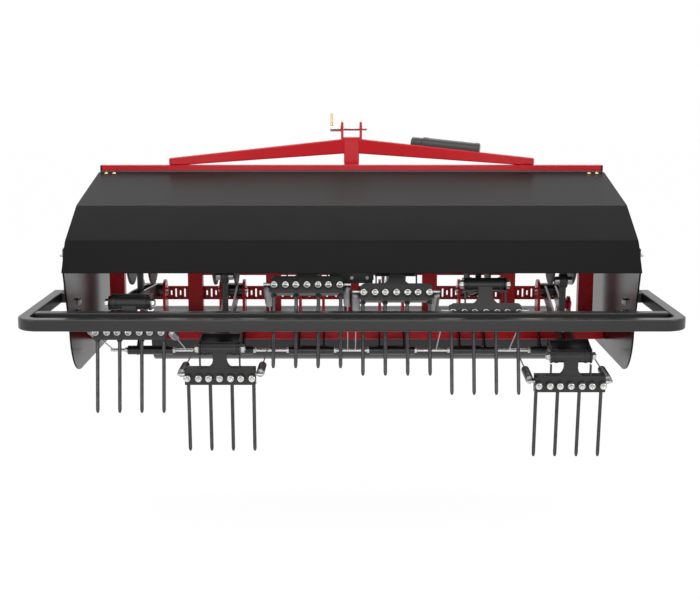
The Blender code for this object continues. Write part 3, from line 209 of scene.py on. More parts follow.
class FinishShop:
    """Makes each finish once, from shader groups shared by several of them."""

    def __init__(self) -> None:
        """Build the shared groups."""
        self.made: dict[str, bpy.types.Material] = {}
        self.film = self._group(FILM, dusty=True)
        self.grain = self._group(GRAIN, dusty=False)

    @staticmethod
    def _group(skin: Skin, dusty: bool) -> bpy.types.NodeTree:
        """Build the group of one skin: orange peel under settled dust, or fine grain with darker patches.

        Args:
            skin: the skin's patterns.
            dusty: whether dust settles on it, as on paint, or its grain also shades it, as on bare steel.

        Returns:
            The group.
        """
        group = bpy.data.node_groups.new(skin.name, "ShaderNodeTree")
        sockets = [("Colour", "Color", (0.5, 0.5, 0.5, 1.0)), ("Tint", "Color", (0.4, 0.4, 0.4, 1.0)),
                   ("Roughness", "Float", 0.3), ("Scale", "Float", 300.0)] + [("Dust", "Float", 0.02)] * dusty
        for label, kind, default in sockets:
            socket = group.interface.new_socket(label, in_out="INPUT", socket_type="NodeSocket" + kind)
            socket.default_value = default
        for label, kind in (("Colour", "Color"), ("Roughness", "Float"), ("Height", "Float")):
            group.interface.new_socket(label, in_out="OUTPUT", socket_type="NodeSocket" + kind)
        source = group.nodes.new("NodeGroupInput").outputs
        coords = group.nodes.new("ShaderNodeTexCoord").outputs["Object"]
        patch = wire(group, "ShaderNodeTexNoise", {
            "Vector": coords, "Scale": skin.patch_scale, "Detail": skin.patch_detail}).outputs["Fac"]
        fine = wire(group, "ShaderNodeTexNoise", {
            "Vector": coords, "Scale": source["Scale"], "Detail": skin.fine_detail}).outputs["Fac"]
        shade = patch
        if not dusty:
            both = wire(group, "ShaderNodeMath", {0: fine, 1: patch}, operation="MULTIPLY")
            shade = wire(group, "ShaderNodeMapRange", {
                "Value": both.outputs[0], "From Min": 0.12, "From Max": 0.42}).outputs["Result"]
        tone = wire(group, "ShaderNodeMix", {"Factor": shade, "A": source["Colour"], "B": source["Tint"]},
                    data_type="RGBA").outputs["Result"]
        if dusty:
            normal = group.nodes.new("ShaderNodeNewGeometry").outputs["Normal"]
            facing = wire(group, "ShaderNodeSeparateXYZ", {"Vector": normal})
            settled = wire(group, "ShaderNodeMath", {0: facing.outputs["Z"], 1: source["Dust"]},
                           operation="MULTIPLY", use_clamp=True)
            patchy = wire(group, "ShaderNodeMath", {0: settled.outputs[0], 1: patch}, operation="MULTIPLY")
            tone = wire(group, "ShaderNodeMix", {"Factor": patchy.outputs[0], "A": tone, "B": DUST_COLOUR},
                        data_type="RGBA").outputs["Result"]
        rough = wire(group, "ShaderNodeMapRange", {
            "Value": patch, "To Min": skin.rough_low, "To Max": skin.rough_high}).outputs["Result"]
        total = wire(group, "ShaderNodeMath", {0: rough, 1: source["Roughness"]}, operation="ADD")
        wire(group, "NodeGroupOutput", {"Colour": tone, "Roughness": total.outputs[0], "Height": fine})
        return group

    def get(self, finish: Finish) -> bpy.types.Material:
        """Give the material of a finish.

        Args:
            finish: the finish wanted.

        Returns:
            Its material, made on first use.
        """
        if finish.name in self.made:
            return self.made[finish.name]
        material = bpy.data.materials.new(finish.name)
        material.use_nodes = True
        tree = material.node_tree
        metal = finish.surface is Surface.METAL
        layer = wire(tree, "ShaderNodeGroup", {
            "Colour": (*finish.colour, 1.0), "Tint": (*finish.tint, 1.0), "Roughness": finish.roughness,
            "Scale": finish.scale}, node_tree=self.grain if metal else self.film).outputs
        relief = wire(tree, "ShaderNodeBump", {
            "Strength": finish.relief, "Distance": RELIEF_DEPTH, "Height": layer["Height"]})
        feed(tree, tree.nodes["Principled BSDF"], {
            "Normal": relief.outputs["Normal"], "Base Color": layer["Colour"],
            "Roughness": layer["Roughness"],
            "Metallic": float(metal), "Coat Weight": finish.coat, "Coat Roughness": COAT_ROUGHNESS,
            "Specular IOR Level": finish.gloss})
        self.made[finish.name] = material
        return material


SHOP = FinishShop()


def aimed(start: Spot, heading: Spot) -> Matrix:
    """Give the matrix that lays +Z along a heading from a point."""
    return Matrix.Translation(Vector(start)) @ Vector(heading).to_track_quat("Z", "Y").to_matrix().to_4x4()


def circle(y: float, z: float, radius: float, sides: int = 32) -> Outline:
    """Give the corners of a round outline."""
    return [(y + radius * math.cos(2 * math.pi * i / sides), z + radius * math.sin(2 * math.pi * i / sides))
            for i in range(sides)]


def arc(y: float, z: float, radius: float, start: float, end: float, steps: int = 16) -> Outline:
    """Give points along an arc, with its angles in degrees."""
    angles = [math.radians(start + (end - start) * step / steps) for step in range(steps + 1)]
    return [(y + radius * math.cos(angle), z + radius * math.sin(angle)) for angle in angles]


def mirrored(right: Outline) -> Outline:
    """Close the right half of an outline with its mirror image."""
    return right + [(-x, z) for x, z in reversed(right)]


def rounded(points: Outline, radius: float, steps: int = 10) -> Outline:
    """Round the inner corners of an open outline.

    Args:
        points: the outline's corners.
        radius: the rounding's radius.
        steps: how many steps each corner has.

    Returns:
        The outline with an arc at each inner corner.
    """
    found = [points[0]]
    for before, corner, after in zip(points, points[1:], points[2:]):
        here = Vector(corner)
        back = (Vector(before) - here).normalized()
        ahead = (Vector(after) - here).normalized()
        half = back.angle(ahead) / 2
        cut = radius / math.tan(half)
        centre = here + (back + ahead).normalized() * (radius / math.sin(half))
        first = here + back * cut - centre
        last = here + ahead * cut - centre
        sweep = first.angle_signed(last)
        for step in range(steps + 1):
            found.append(tuple(centre + Matrix.Rotation(-sweep * step / steps, 2) @ first))
    return found + [points[-1]]


def offset(points: Outline, distance: float) -> Outline:
    """Move an open profile inwards, keeping its corners true.

    Args:
        points: the profile.
        distance: how far it moves.

    Returns:
        The moved profile.
    """
    normals = []
    for (y0, z0), (y1, z1) in zip(points, points[1:]):
        length = math.hypot(y1 - y0, z1 - z0)
        normals.append(((z0 - z1) / length, (y1 - y0) / length))
    moved = []
    for index, (y, z) in enumerate(points):
        near = normals[max(index - 1, 0)]
        far = normals[min(index, len(normals) - 1)]
        scale = distance / (1 + near[0] * far[0] + near[1] * far[1])
        moved.append((y + (near[0] + far[0]) * scale, z + (near[1] + far[1]) * scale))
    return moved


def bake(piece: bpy.types.Object) -> bpy.types.Mesh:
    """Turn a piece and its modifiers into a plain mesh.

    Args:
        piece: the object, which keeps the mesh and loses its modifiers.

    Returns:
        The mesh.
    """
    graph = bpy.context.evaluated_depsgraph_get()
    mesh = bpy.data.meshes.new_from_object(piece.evaluated_get(graph))
    piece.modifiers.clear()
    piece.data = mesh
    return mesh


def link(name: str, data: bpy.types.ID) -> bpy.types.Object:
    """Put an object with the given data in the scene.

    Args:
        name: the object's name.
        data: its mesh, lamp or camera.

    Returns:
        The object.
    """
    item = bpy.data.objects.new(name, data)
    bpy.context.scene.collection.objects.link(item)
    return item


def carry(piece: bpy.types.Object, body: str, *nodes: str) -> None:
    """Let a piece ride on a body and stand for the nodes it replaces, and log it.

    Args:
        piece: the piece.
        body: the body that carries it.
        nodes: the nodes that it stands for.
    """
    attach(piece, body)
    if nodes:
        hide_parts(*nodes)
    LOG.info("%s rides on %s and stands for %s", piece.name, body, ", ".join(nodes) or "nothing")


class Bench:
    """Collects the closed bodies of one piece, then rounds their edges and makes the object."""

    def __init__(self, place: Matrix | None = None) -> None:
        """Start an empty piece, with the matrix from its own frame to the machine's."""
        self.bm = bmesh.new()
        self.place = place or Matrix.Identity(4)

    def box(self, low: Spot, high: Spot) -> None:
        """Add a box.

        Args:
            low: one corner.
            high: the corner across from it.
        """
        size = [abs(high[i] - low[i]) for i in range(3)]
        middle = Vector([(high[i] + low[i]) / 2 for i in range(3)])
        place = Matrix.Translation(middle) @ Matrix.Diagonal((*size, 1.0))
        bmesh.ops.create_cube(self.bm, size=1.0, matrix=place)

    def rod(self, start: Spot, end: Spot, radius: float, sides: int = 32) -> None:
        """Add a round or many-sided rod.

        Args:
            start: the middle of one end.
            end: the middle of the other.
            radius: its radius, to the corners.
            sides: how many sides it has.
        """
        start, end = Vector(start), Vector(end)
        bmesh.ops.create_cone(self.bm, cap_ends=True, segments=sides, radius1=radius, radius2=radius,
                              depth=(end - start).length, matrix=aimed((start + end) / 2, end - start))

    def cross(self, left: float, right: float, at: Point, radius: float, sides: int = 32) -> None:
        """Add a rod along X, at a place in Y and Z."""
        self.rod((left, *at), (right, *at), radius, sides)

    def hexagon(self, levels: tuple[float, float, float], side: int, at: Point, washer: float,
                head: float) -> None:
        """Add a washer and a hexagon head along X, on the side given, from level to level."""
        self.cross(side * levels[0], side * levels[1], at, washer, 24)
        self.cross(side * levels[1], side * levels[2], at, head, 6)

    def turned(self, steps: Outline, start: Spot, heading: Spot, sides: int = 40) -> None:
        """Add a turned body.

        Args:
            steps: distance along the axis and radius of each point of its outline, both ends closed.
            start: the axis's first point.
            heading: the axis's direction.
            sides: how many sides its circles have.
        """
        frame = aimed(start, heading)
        turns = circle(0.0, 0.0, 1.0, sides)
        rings = [[self.bm.verts.new(frame @ Vector((radius * x, radius * y, along))) for x, y in turns]
                 for along, radius in steps]
        for near, far in zip(rings, rings[1:]):
            for side in range(sides):
                after = (side + 1) % sides
                self.bm.faces.new((near[side], near[after], far[after], far[side]))
        self.bm.faces.new(list(reversed(rings[0])))
        self.bm.faces.new(rings[-1])

    def bar(self, start: Spot, length: float, radius: float, sides: int, chamfer: Point = (0.0015, 0.0015),
            heading: Spot = (1.0, 0.0, 0.0)) -> None:
        """Add a turned bar with a chamfer at both ends.

        Args:
            start: the middle of its first end.
            length: its length.
            radius: its radius.
            sides: how many sides its circles have.
            chamfer: the chamfer's reach along the bar and into it.
            heading: the bar's direction.
        """
        along, inward = chamfer
        self.turned([(0.0, radius - inward), (along, radius), (length - along, radius),
                     (length, radius - inward)],
                    start, heading, sides)

    def plate(self, outline: Outline, low: float, high: float, axis: str = "X",
              holes: list[Outline] | None = None,
              shift: Spot = (0.0, 0.0, 0.0), turn: Matrix | None = None) -> None:
        """Add a flat plate cut to an outline, with any holes.

        Args:
            outline: the corners, in Y and Z for axis X, in X and Z for axis Y, in X and Y for axis Z.
            low: where the plate starts along the axis.
            high: where it ends.
            axis: the axis that the plate is square to.
            holes: outlines of its holes.
            shift: a move made before the piece's own place.
            turn: a turn made before the move.
        """
        low, high = sorted((low, high))
        loops = [outline] + (holes or [])
        caps = tessellate_polygon([[Vector((a, b, 0.0)) for a, b in loop] for loop in loops])
        corners = [point for loop in loops for point in loop]
        order = {"X": lambda a, b, c: (c, a, b), "Y": lambda a, b, c: (a, c, b),
                 "Z": lambda a, b, c: (a, b, c)}[axis]
        matrix = Matrix.Translation(shift) @ (turn or Matrix.Identity(4))
        near = [self.bm.verts.new(matrix @ Vector(order(a, b, low))) for a, b in corners]
        far = [self.bm.verts.new(matrix @ Vector(order(a, b, high))) for a, b in corners]
        for first, second, third in caps:
            self.bm.faces.new((near[first], near[second], near[third]))
            self.bm.faces.new((far[third], far[second], far[first]))
        start = 0
        for loop in loops:
            for index in range(len(loop)):
                a = start + index
                b = start + (index + 1) % len(loop)
                self.bm.faces.new((near[a], near[b], far[b], far[a]))
            start += len(loop)

    def eye(self, feet: tuple[Point, Point], at: Point, radius: float, hole: float, span: Point,
            angles: Point = (0.0, 180.0)) -> None:
        """Add a plate square to X with a round end and a hole.

        Args:
            feet: the first and last corner of its foot, in Y and Z.
            at: the middle of its hole.
            radius: the round end's radius.
            hole: the hole's radius.
            span: where it starts and ends in X.
            angles: where the round end starts and stops, in degrees.
        """
        self.plate([feet[0]] + arc(*at, radius, *angles) + [feet[1]], *span, holes=[circle(*at, hole)])

    def object(self, name: str, finish: Finish, rounding: float = 0.0, segments: int = 2) -> bpy.types.Object:
        """Make the piece as an object at the origin, with its place in its mesh.

        Args:
            name: the piece's name.
            finish: its finish.
            rounding: width of its rounded edges.
            segments: how many faces a rounding has.

        Returns:
            The finished object.
        """
        bmesh.ops.recalc_face_normals(self.bm, faces=self.bm.faces)
        mesh = bpy.data.meshes.new(name)
        self.bm.to_mesh(mesh)
        self.bm.free()
        piece = link(name, mesh)
        if rounding > 0:
            flats = piece.modifiers.new("flats", "DECIMATE")
            flats.decimate_type = "DISSOLVE"
            flats.angle_limit = FLAT_ANGLE
            edge = piece.modifiers.new("rounding", "BEVEL")
            edge.width = rounding
            edge.segments = segments
            edge.limit_method = "ANGLE"
            edge.angle_limit = BEVEL_ANGLE
        mesh = bake(piece)
        mesh.name = piece.name
        mesh.transform(MACHINE_TO_FRAME @ self.place)
        mesh.materials.clear()
        mesh.materials.append(SHOP.get(finish))
        mesh.shade_smooth()
        mesh.set_sharp_from_angle(angle=SMOOTH_ANGLE)
        weigh = piece.modifiers.new("even_normals", "WEIGHTED_NORMAL")
        weigh.keep_sharp = True
        weigh.weight = 80
        bake(piece)
        return piece

    def make(self, name: str, finish: Finish, body: str, *nodes: str, rounding: float = 0.0,
             segments: int = 2) -> None:
        """Make the piece and let a body carry it.

        Args:
            name: the piece's name.
            finish: its finish.
            body: the body that carries it.
            nodes: the nodes that it stands for.
            rounding: width of its rounded edges.
            segments: how many faces a rounding has.
        """
        carry(self.object(name, finish, rounding, segments), body, *nodes)


class Repeats:
    """Geometry Nodes trees for what repeats, each turned into a plain mesh."""

    def __init__(self) -> None:
        """Build the trees."""
        self.copies = self._copies_tree()
        self.coil = self._coil_tree()

    @staticmethod
    def _tree(name: str, inputs: tuple[str, ...], kind: str) -> tuple[bpy.types.NodeTree, bpy.types.Node]:
        """Make an empty tree with a geometry in and out, the named inputs and a material.

        Args:
            name: the tree's name.
            inputs: the names of its own inputs.
            kind: the socket type of those inputs.

        Returns:
            The tree and its input node.
        """
        tree = bpy.data.node_groups.new(name, "GeometryNodeTree")
        own = [(label, kind) for label in inputs]
        sockets = [("Geometry", "Geometry"), *own, ("Material", "Material")]
        for label, ending in sockets:
            tree.interface.new_socket(label, in_out="INPUT", socket_type="NodeSocket" + ending)
        tree.interface.new_socket("Geometry", in_out="OUTPUT", socket_type="NodeSocketGeometry")
        return tree, tree.nodes.new("NodeGroupInput")

    @staticmethod
    def _ending(tree: bpy.types.NodeTree, source: bpy.types.Node, geometry: bpy.types.NodeSocket) -> None:
        """End a tree in Realize Instances and Set Material.

        Args:
            tree: the tree.
            source: its input node.
            geometry: the socket that holds what it has made.
        """
        real = wire(tree, "GeometryNodeRealizeInstances", {0: geometry})
        dress = wire(tree, "GeometryNodeSetMaterial", {
            "Geometry": real.outputs[0], "Material": source.outputs["Material"]})
        wire(tree, "NodeGroupOutput", {0: dress.outputs[0]})

    def _copies_tree(self) -> bpy.types.NodeTree:
        """Build the tree that puts copies of one part on each point of a mesh.

        Returns:
            The tree.
        """
        tree, source = self._tree("copies_on_points", ("Part",), "Object")
        part = wire(tree, "GeometryNodeObjectInfo", {"Object": source.outputs["Part"]})
        spread = wire(tree, "GeometryNodeInstanceOnPoints", {
            "Points": source.outputs["Geometry"], "Instance": part.outputs["Geometry"]})
        self._ending(tree, source, spread.outputs[0])
        return tree

    def _coil_tree(self) -> bpy.types.NodeTree:
        """Build the tree of a close-wound coil of round wire along +Z.

        Returns:
            The tree.
        """
        sizes = ("Turns", "Coil Radius", "Length", "Wire Radius")
        tree, source = self._tree("close_wound_coil", sizes, "Float")
        given = source.outputs
        spiral = wire(tree, "GeometryNodeCurveSpiral", {
            "Resolution": 20, "Rotations": given["Turns"], "Start Radius": given["Coil Radius"],
            "End Radius": given["Coil Radius"], "Height": given["Length"]})
        ring = wire(tree, "GeometryNodeCurvePrimitiveCircle", {
            "Resolution": 8, "Radius": given["Wire Radius"]})
        sweep = wire(tree, "GeometryNodeCurveToMesh", {
            "Fill Caps": True, "Curve": spiral.outputs["Curve"], "Profile Curve": ring.outputs["Curve"]})
        self._ending(tree, source, sweep.outputs[0])
        return tree

    @staticmethod
    def _grow(name: str, tree: bpy.types.NodeTree, points: list[Vector], values: dict[str, object],
              place: Matrix, finish: Finish) -> bpy.types.Object:
        """Run a tree on a few points and make its plain mesh a piece.

        Args:
            name: the piece's name.
            tree: the tree to run.
            points: the host's points.
            values: the tree's own inputs by name.
            place: the matrix put on the result.
            finish: the piece's finish.

        Returns:
            The piece.
        """
        host_mesh = bpy.data.meshes.new(name)
        host_mesh.from_pydata([tuple(p) for p in points], [], [])
        host = link(name, host_mesh)
        change = host.modifiers.new("grow", "NODES")
        change.node_group = tree
        values = {**values, "Material": SHOP.get(finish)}
        for item in tree.interface.items_tree:
            if item.in_out == "INPUT" and item.name in values:
                change[item.identifier] = values[item.name]
        host.update_tag()
        mesh = bake(host)
        bpy.data.objects.remove(host, do_unlink=True)
        mesh.transform(place)
        mesh.shade_smooth()
        mesh.set_sharp_from_angle(angle=SMOOTH_ANGLE)
        piece = link(name, mesh)
        return piece

    def row(self, name: str, part: Bench, finish: Finish, points: list[Vector], body: str, *nodes: str,
            place: Matrix | None = None) -> None:
        """Copy a small part onto points and let a body carry the row.

        Args:
            name: the piece's name.
            part: the part, drawn about its own origin.
            finish: its finish.
            points: where the copies go, in the place's frame.
            body: the body that carries them.
            nodes: the nodes that they stand for.
            place: the matrix to the machine's frame.
        """
        part.place = FRAME_TO_MACHINE
        template = part.object(name + "_template", finish)
        piece = self._grow(name, self.copies, points, {"Part": template},
                           MACHINE_TO_FRAME @ (place or Matrix.Identity(4)), finish)
        bpy.data.objects.remove(template, do_unlink=True)
        carry(piece, body, *nodes)

    def wound(self, name: str, start: Vector, heading: Vector, coil: tuple[float, float, float, float],
              finish: Finish) -> bpy.types.Object:
        """Wind a coil in the frame.

        Args:
            name: the piece's name.
            start: the middle of its first end.
            heading: its direction.
            coil: its count of turns, its radius, its length and its wire's radius.
            finish: its finish.

        Returns:
            The piece.
        """
        values = dict(zip(("Turns", "Coil Radius", "Length", "Wire Radius"), coil))
        return self._grow(name, self.coil, [Vector((0, 0, 0))], values, aimed(start, heading), finish)


REPEATS = Repeats()


@dataclass
class Covers:
    """The hood, its hinge and the two side plates."""

    profile: tuple[Point, ...] = ((0.597, 0.765), (0.175, 0.679), (-0.030, 0.575), (-0.100, 0.477))
    half_width: float = 0.978
    sheet: float = 0.003
    bend: float = 0.045
    inside: float = 0.969
    outside: float = 0.975
    hinge_half: float = 0.9687
    hinge_radius: float = 0.006
    screw_places: tuple[float, ...] = (-0.945, -0.915, 0.915, 0.945)
    screw_inset: float = 0.022
    bottom: float = 0.0975
    skirt_middle: Point = (0.120, 0.270)
    skirt_reach: Point = (0.150, 0.1725)
    front: float = 0.700
    corner: float = 0.350
    bolt_washer: float = 0.0135

    def hood(self) -> None:
        """Make the folded sheet, with soft bends and a lip turned in along its lower edge."""
        line = rounded(list(self.profile), self.bend)
        shell = Bench()
        shell.plate(line + list(reversed(offset(line, self.sheet))), -self.half_width, self.half_width)
        shell.make("hood_shell", HOOD_BLACK, "hood", "hood", rounding=0.0010)
        y, z = line[-1]
        lip_half = self.half_width - 0.004
        lip = Bench()
        lip.box((-lip_half, y + 0.0045, z + 0.001), (lip_half, y + 0.020, z + 0.004))
        lip.make("hood_lower_lip", HOOD_BLACK, "hood", rounding=0.0008)

    def hinge(self) -> None:
        """Make the hinge rod and the hood's screws."""
        (y, z), (low_y, low_z) = self.profile[:2]
        rod = Bench()
        rod.cross(-self.hinge_half, self.hinge_half, (y + 0.0063, z), self.hinge_radius, 24)
        rod.make("hood_hinge_bar", SHADED_BLACK, "root", "hood_hinge_rod", rounding=0.0008)
        screw = Bench()
        screw.turned([(0.0, 0.0075), (0.003, 0.0072), (0.0052, 0.0045), (0.0060, 0.001)], (0, 0, 0),
                     (0, 0, 1), 20)
        slope = (z - low_z) / (y - low_y)
        points = [Vector((x, y - self.screw_inset, z - self.screw_inset * slope)) for x in self.screw_places]
        REPEATS.row("hood_screws", screw, YELLOW_ZINC, points, "hood")

    def outline(self) -> Outline:
        """Draw the side plate.

        Returns:
            Its outline in Y and Z.
        """
        top = offset(rounded(list(self.profile), self.bend), self.sheet + SEAM)
        (y, z), (wide, high) = self.skirt_middle, self.skirt_reach
        angles = [math.radians(90 * step / 16) for step in range(1, 16)]
        skirt = [(y - wide * math.cos(angle), z - high * math.sin(angle)) for angle in angles]
        beam = [(0.6546, 0.745), (0.6546, BEAM_TOP), (0.6096, BEAM_TOP), (0.6096, 0.745)]
        return (top + [(y - wide, z)] + skirt + [(y, self.bottom), (self.front, self.bottom),
                                                 (self.front, self.corner)] + beam + [(top[0][0], 0.745)])

    def side_plates(self) -> None:
        """Make both plates, with their bearings and bolts."""
        for name, side in SIDES:
            plate = Bench()
            plate.plate(self.outline(), side * self.inside, side * self.outside)
            plate.make(f"side_sheet_{name}", GLOSS_BLACK, "root", f"side_plate_{name}", rounding=0.0012)
            bearing = Bench()
            bearing.turned([(0.0, 0.045), (0.010, 0.045), (0.012, 0.034), (0.038, 0.032)],
                           (side * self.inside, *CRANK), (-side, 0, 0))
            bearing.make(f"end_bearing_{name}", BLACK_CASTING, "root", rounding=0.0012)
            bolts = Bench()
            inner = (self.inside - 0.001, self.inside - 0.003, self.inside - 0.012)
            outer = (self.outside, self.outside + 0.002, self.outside + 0.012)
            for at in ((0.100, 0.345), (0.100, 0.305)):
                bolts.hexagon(inner, side, at, self.bolt_washer, 0.0110)
            for at in ((0.490, 0.172), (0.560, 0.172)):
                bolts.hexagon(outer, side, at, self.bolt_washer, 0.0115)
            bolts.make(f"side_bolts_{name}", ZINC, "root", rounding=0.0012)

    def build(self) -> None:
        """Build every cover."""
        self.hood()
        self.hinge()
        self.side_plates()


@dataclass
class Frame:
    """The red frame: beams, posts, slotted bar, hitch frame and headstock."""

    half: float = 0.9687
    top_rear: float = 0.6096
    top_front: float = 0.6546
    top_low: float = 0.745
    beam_rear: float = 0.450
    beam_front: float = 0.600
    beam_low: float = 0.134
    beam_high: float = 0.210
    post_rear: float = 0.560
    post_half: float = 0.029
    wall: float = 0.006
    lug_foot: float = 0.206
    arm_pivot: Point = (0.500, 0.320)
    hanger: float = 0.006
    shaft_hole: float = 0.0184
    slot_step: float = 0.0175
    slot_half_width: float = 0.0032
    strip_low: float = 0.264
    strip_high: float = 0.317
    strip_depth: float = 0.010
    strip_length: float = 1.620
    arm_lug: Point = (0.0393, 0.0493)
    roller_lug: Point = (0.8323, 0.8423)
    hitch_half: float = 0.640
    hitch_front: float = 0.6603
    hitch_low: float = 0.360
    hitch_high: float = 0.440
    ear_places: Point = (0.360, 0.440)
    ear_depth: float = 0.012
    lower_eye: Point = (0.880, 0.400)
    lower_pin_start: float = 0.346
    clip_place: float = 0.468
    clip_half: float = 0.020
    brace_foot_length: float = 0.060
    brace_end_low: float = 0.827
    mast_half: float = 0.030
    mast_rear: float = 0.755
    mast_front: float = 0.805
    top_eye: Point = (0.800, 0.925)
    top_ear_radius: float = 0.026
    top_ear_foot: float = 0.882
    top_ears: Point = (0.032, 0.042)
    top_pin_start: float = -0.085
    handle_place: float = -0.079

    def channel(self, bench: Bench, centre: float, low: float, high: float) -> None:
        """Add one post, an upright channel open to the front.

        Args:
            bench: the piece it belongs to.
            centre: its place across the machine.
            low: its lower end.
            high: its upper end.
        """
        half, inner, web = self.post_half, self.post_half - self.wall, self.post_rear + self.wall
        left = [(-half, self.beam_front), (-half, self.post_rear)]
        right = [(inner, self.beam_front), (inner, web)]
        outline = left + [(-x, y) for x, y in reversed(left)] + right + [(-x, y) for x, y in reversed(right)]
        bench.plate([(centre + x, y) for x, y in outline], low, high, "Z")

    def saddle(self, bench: Bench, centre: float, low: float, high: float) -> None:
        """Add the block that joins a post to the top beam."""
        bench.box((centre - self.post_half, self.post_rear + 0.003, self.top_low + low),
                  (centre + self.post_half, self.top_front - self.wall, self.top_low + high))

    def top_beam(self) -> None:
        """Make the upper cross tube and the short post over the input shaft."""
        beam = Bench()
        beam.box((-self.half, self.top_rear, self.top_low), (self.half, self.top_front, BEAM_TOP))
        self.channel(beam, 0.0, 0.560, self.top_low - 0.001)
        self.saddle(beam, 0.0, -0.012, 0.002)
        beam.make("upper_cross_tube", RED_PAINT, "root", "top_beam", rounding=0.004, segments=3)

    def lower_beam(self) -> None:
        """Make the lower beam and its seven posts."""
        beam = Bench()
        beam.box((-self.half, self.beam_rear, self.beam_low), (self.half, self.beam_front, self.beam_high))
        beam.make("lower_cross_beam", RED_PAINT, "root", "main_frame", rounding=0.006, segments=3)
        posts = Bench()
        for index in range(-3, 4):
            centre = index * HEAD_PITCH
            self.channel(posts, centre, self.beam_high - 0.001, self.top_low - 0.0062 if index else 0.440)
            if index:
                self.saddle(posts, centre, -0.0123, -SEAM)
        posts.make("channel_posts", RED_PAINT, "root", "main_frame", rounding=0.002)

    def lugs(self) -> None:
        """Make the arm and roller lugs, and the crankshaft's hangers with their bearings."""
        lugs = Bench()
        foot = self.lug_foot
        for centre in HEAD_PLACES:
            for side in (-1, 1):
                lugs.eye(((0.540, foot), (0.460, foot)), self.arm_pivot, 0.040, 0.0124,
                         (centre + side * self.arm_lug[0], centre + side * self.arm_lug[1]))
        for side in (-1, 1):
            lugs.eye(((0.530, foot), (0.470, foot)), ROLLER_PIVOT, 0.030, 0.0104,
                     (side * self.roller_lug[0], side * self.roller_lug[1]))
        hangers = [index * HEAD_PITCH for index in (-2, -1, 1, 2)]
        hole = circle(*CRANK, self.shaft_hole)
        for centre in hangers:
            shape = [(0.563, 0.455), (0.563, 0.545)] + arc(*CRANK, 0.045, 90, 270)
            lugs.plate(shape, centre - self.hanger, centre + self.hanger, holes=[hole])
        lugs.make("frame_lugs", RED_PAINT, "root", "main_frame", rounding=0.0015)
        rings = Bench()
        for centre in hangers:
            for side in (-1, 1):
                rings.plate(circle(*CRANK, 0.034, 40), centre + side * (self.hanger + SEAM),
                            centre + side * 0.020,
                            holes=[hole])
        rings.make("hanger_bearings", BLACK_CASTING, "root", "main_frame", rounding=0.0015)

    def slotted_bar(self) -> None:
        """Grow a perforated strip cell by cell, with long and short slots in turn."""
        rear = self.beam_front + SEAM
        step, low, high, width = self.slot_step, self.strip_low, self.strip_high, self.slot_half_width
        middle = (low + high) / 2
        cells = int(self.strip_length / (2 * step))
        for name, first, reach in (("long", 0.0, 0.017), ("short", step, 0.010)):
            cell = Bench()
            slot = (arc(0.0, middle + reach - width, width, 0, 180, 6)
                    + arc(0.0, middle - reach + width, width, 180, 360, 6))
            cell.plate([(-step / 2, low), (step / 2, low), (step / 2, high), (-step / 2, high)], rear,
                       rear + self.strip_depth, "Y", holes=[slot])
            points = [Vector((first + step / 2 + step * (2 * i - cells), 0.0, 0.0)) for i in range(cells)]
            REPEATS.row(f"slotted_strip_{name}", cell, RED_PAINT, points, "root", "slotted_bar")

    def hitch(self) -> None:
        """Make the cross tube with the lower hitch ears, and the two pins."""
        tube = Bench()
        tube.box((-self.hitch_half, self.beam_front + SEAM, self.hitch_low),
                 (self.hitch_half, self.hitch_front, self.hitch_high))
        tube.make("hitch_cross_tube", RED_PAINT, "root", "hitch_frame", rounding=0.005, segments=3)
        ears = Bench()
        y, z = self.lower_eye
        for side in (-1, 1):
            for place in self.ear_places:
                ears.eye(((0.656, z - 0.038), (0.656, z + 0.038)), self.lower_eye, 0.045, 0.0114,
                         (side * place, side * (place + self.ear_depth)), (-90.0, 90.0))
        ears.make("lower_link_ears", RED_PAINT, "root", "hitch_frame", rounding=0.0015)
        steps = [(0.0, 0.015), (0.002, 0.018), (0.0137, 0.018), (0.0137, 0.011), (0.131, 0.011),
                 (0.134, 0.009)]
        for name, side in SIDES:
            pin = Bench()
            pin.turned(steps, (side * self.lower_pin_start, y, z), (side, 0, 0), 32)
            clip = side * self.clip_place
            pin.rod((clip, y, z - self.clip_half), (clip, y, z + self.clip_half), 0.003, 12)
            pin.make(f"lower_link_pin_{name}", ZINC, "root", f"lower_hitch_pin_{name}", rounding=0.0005)

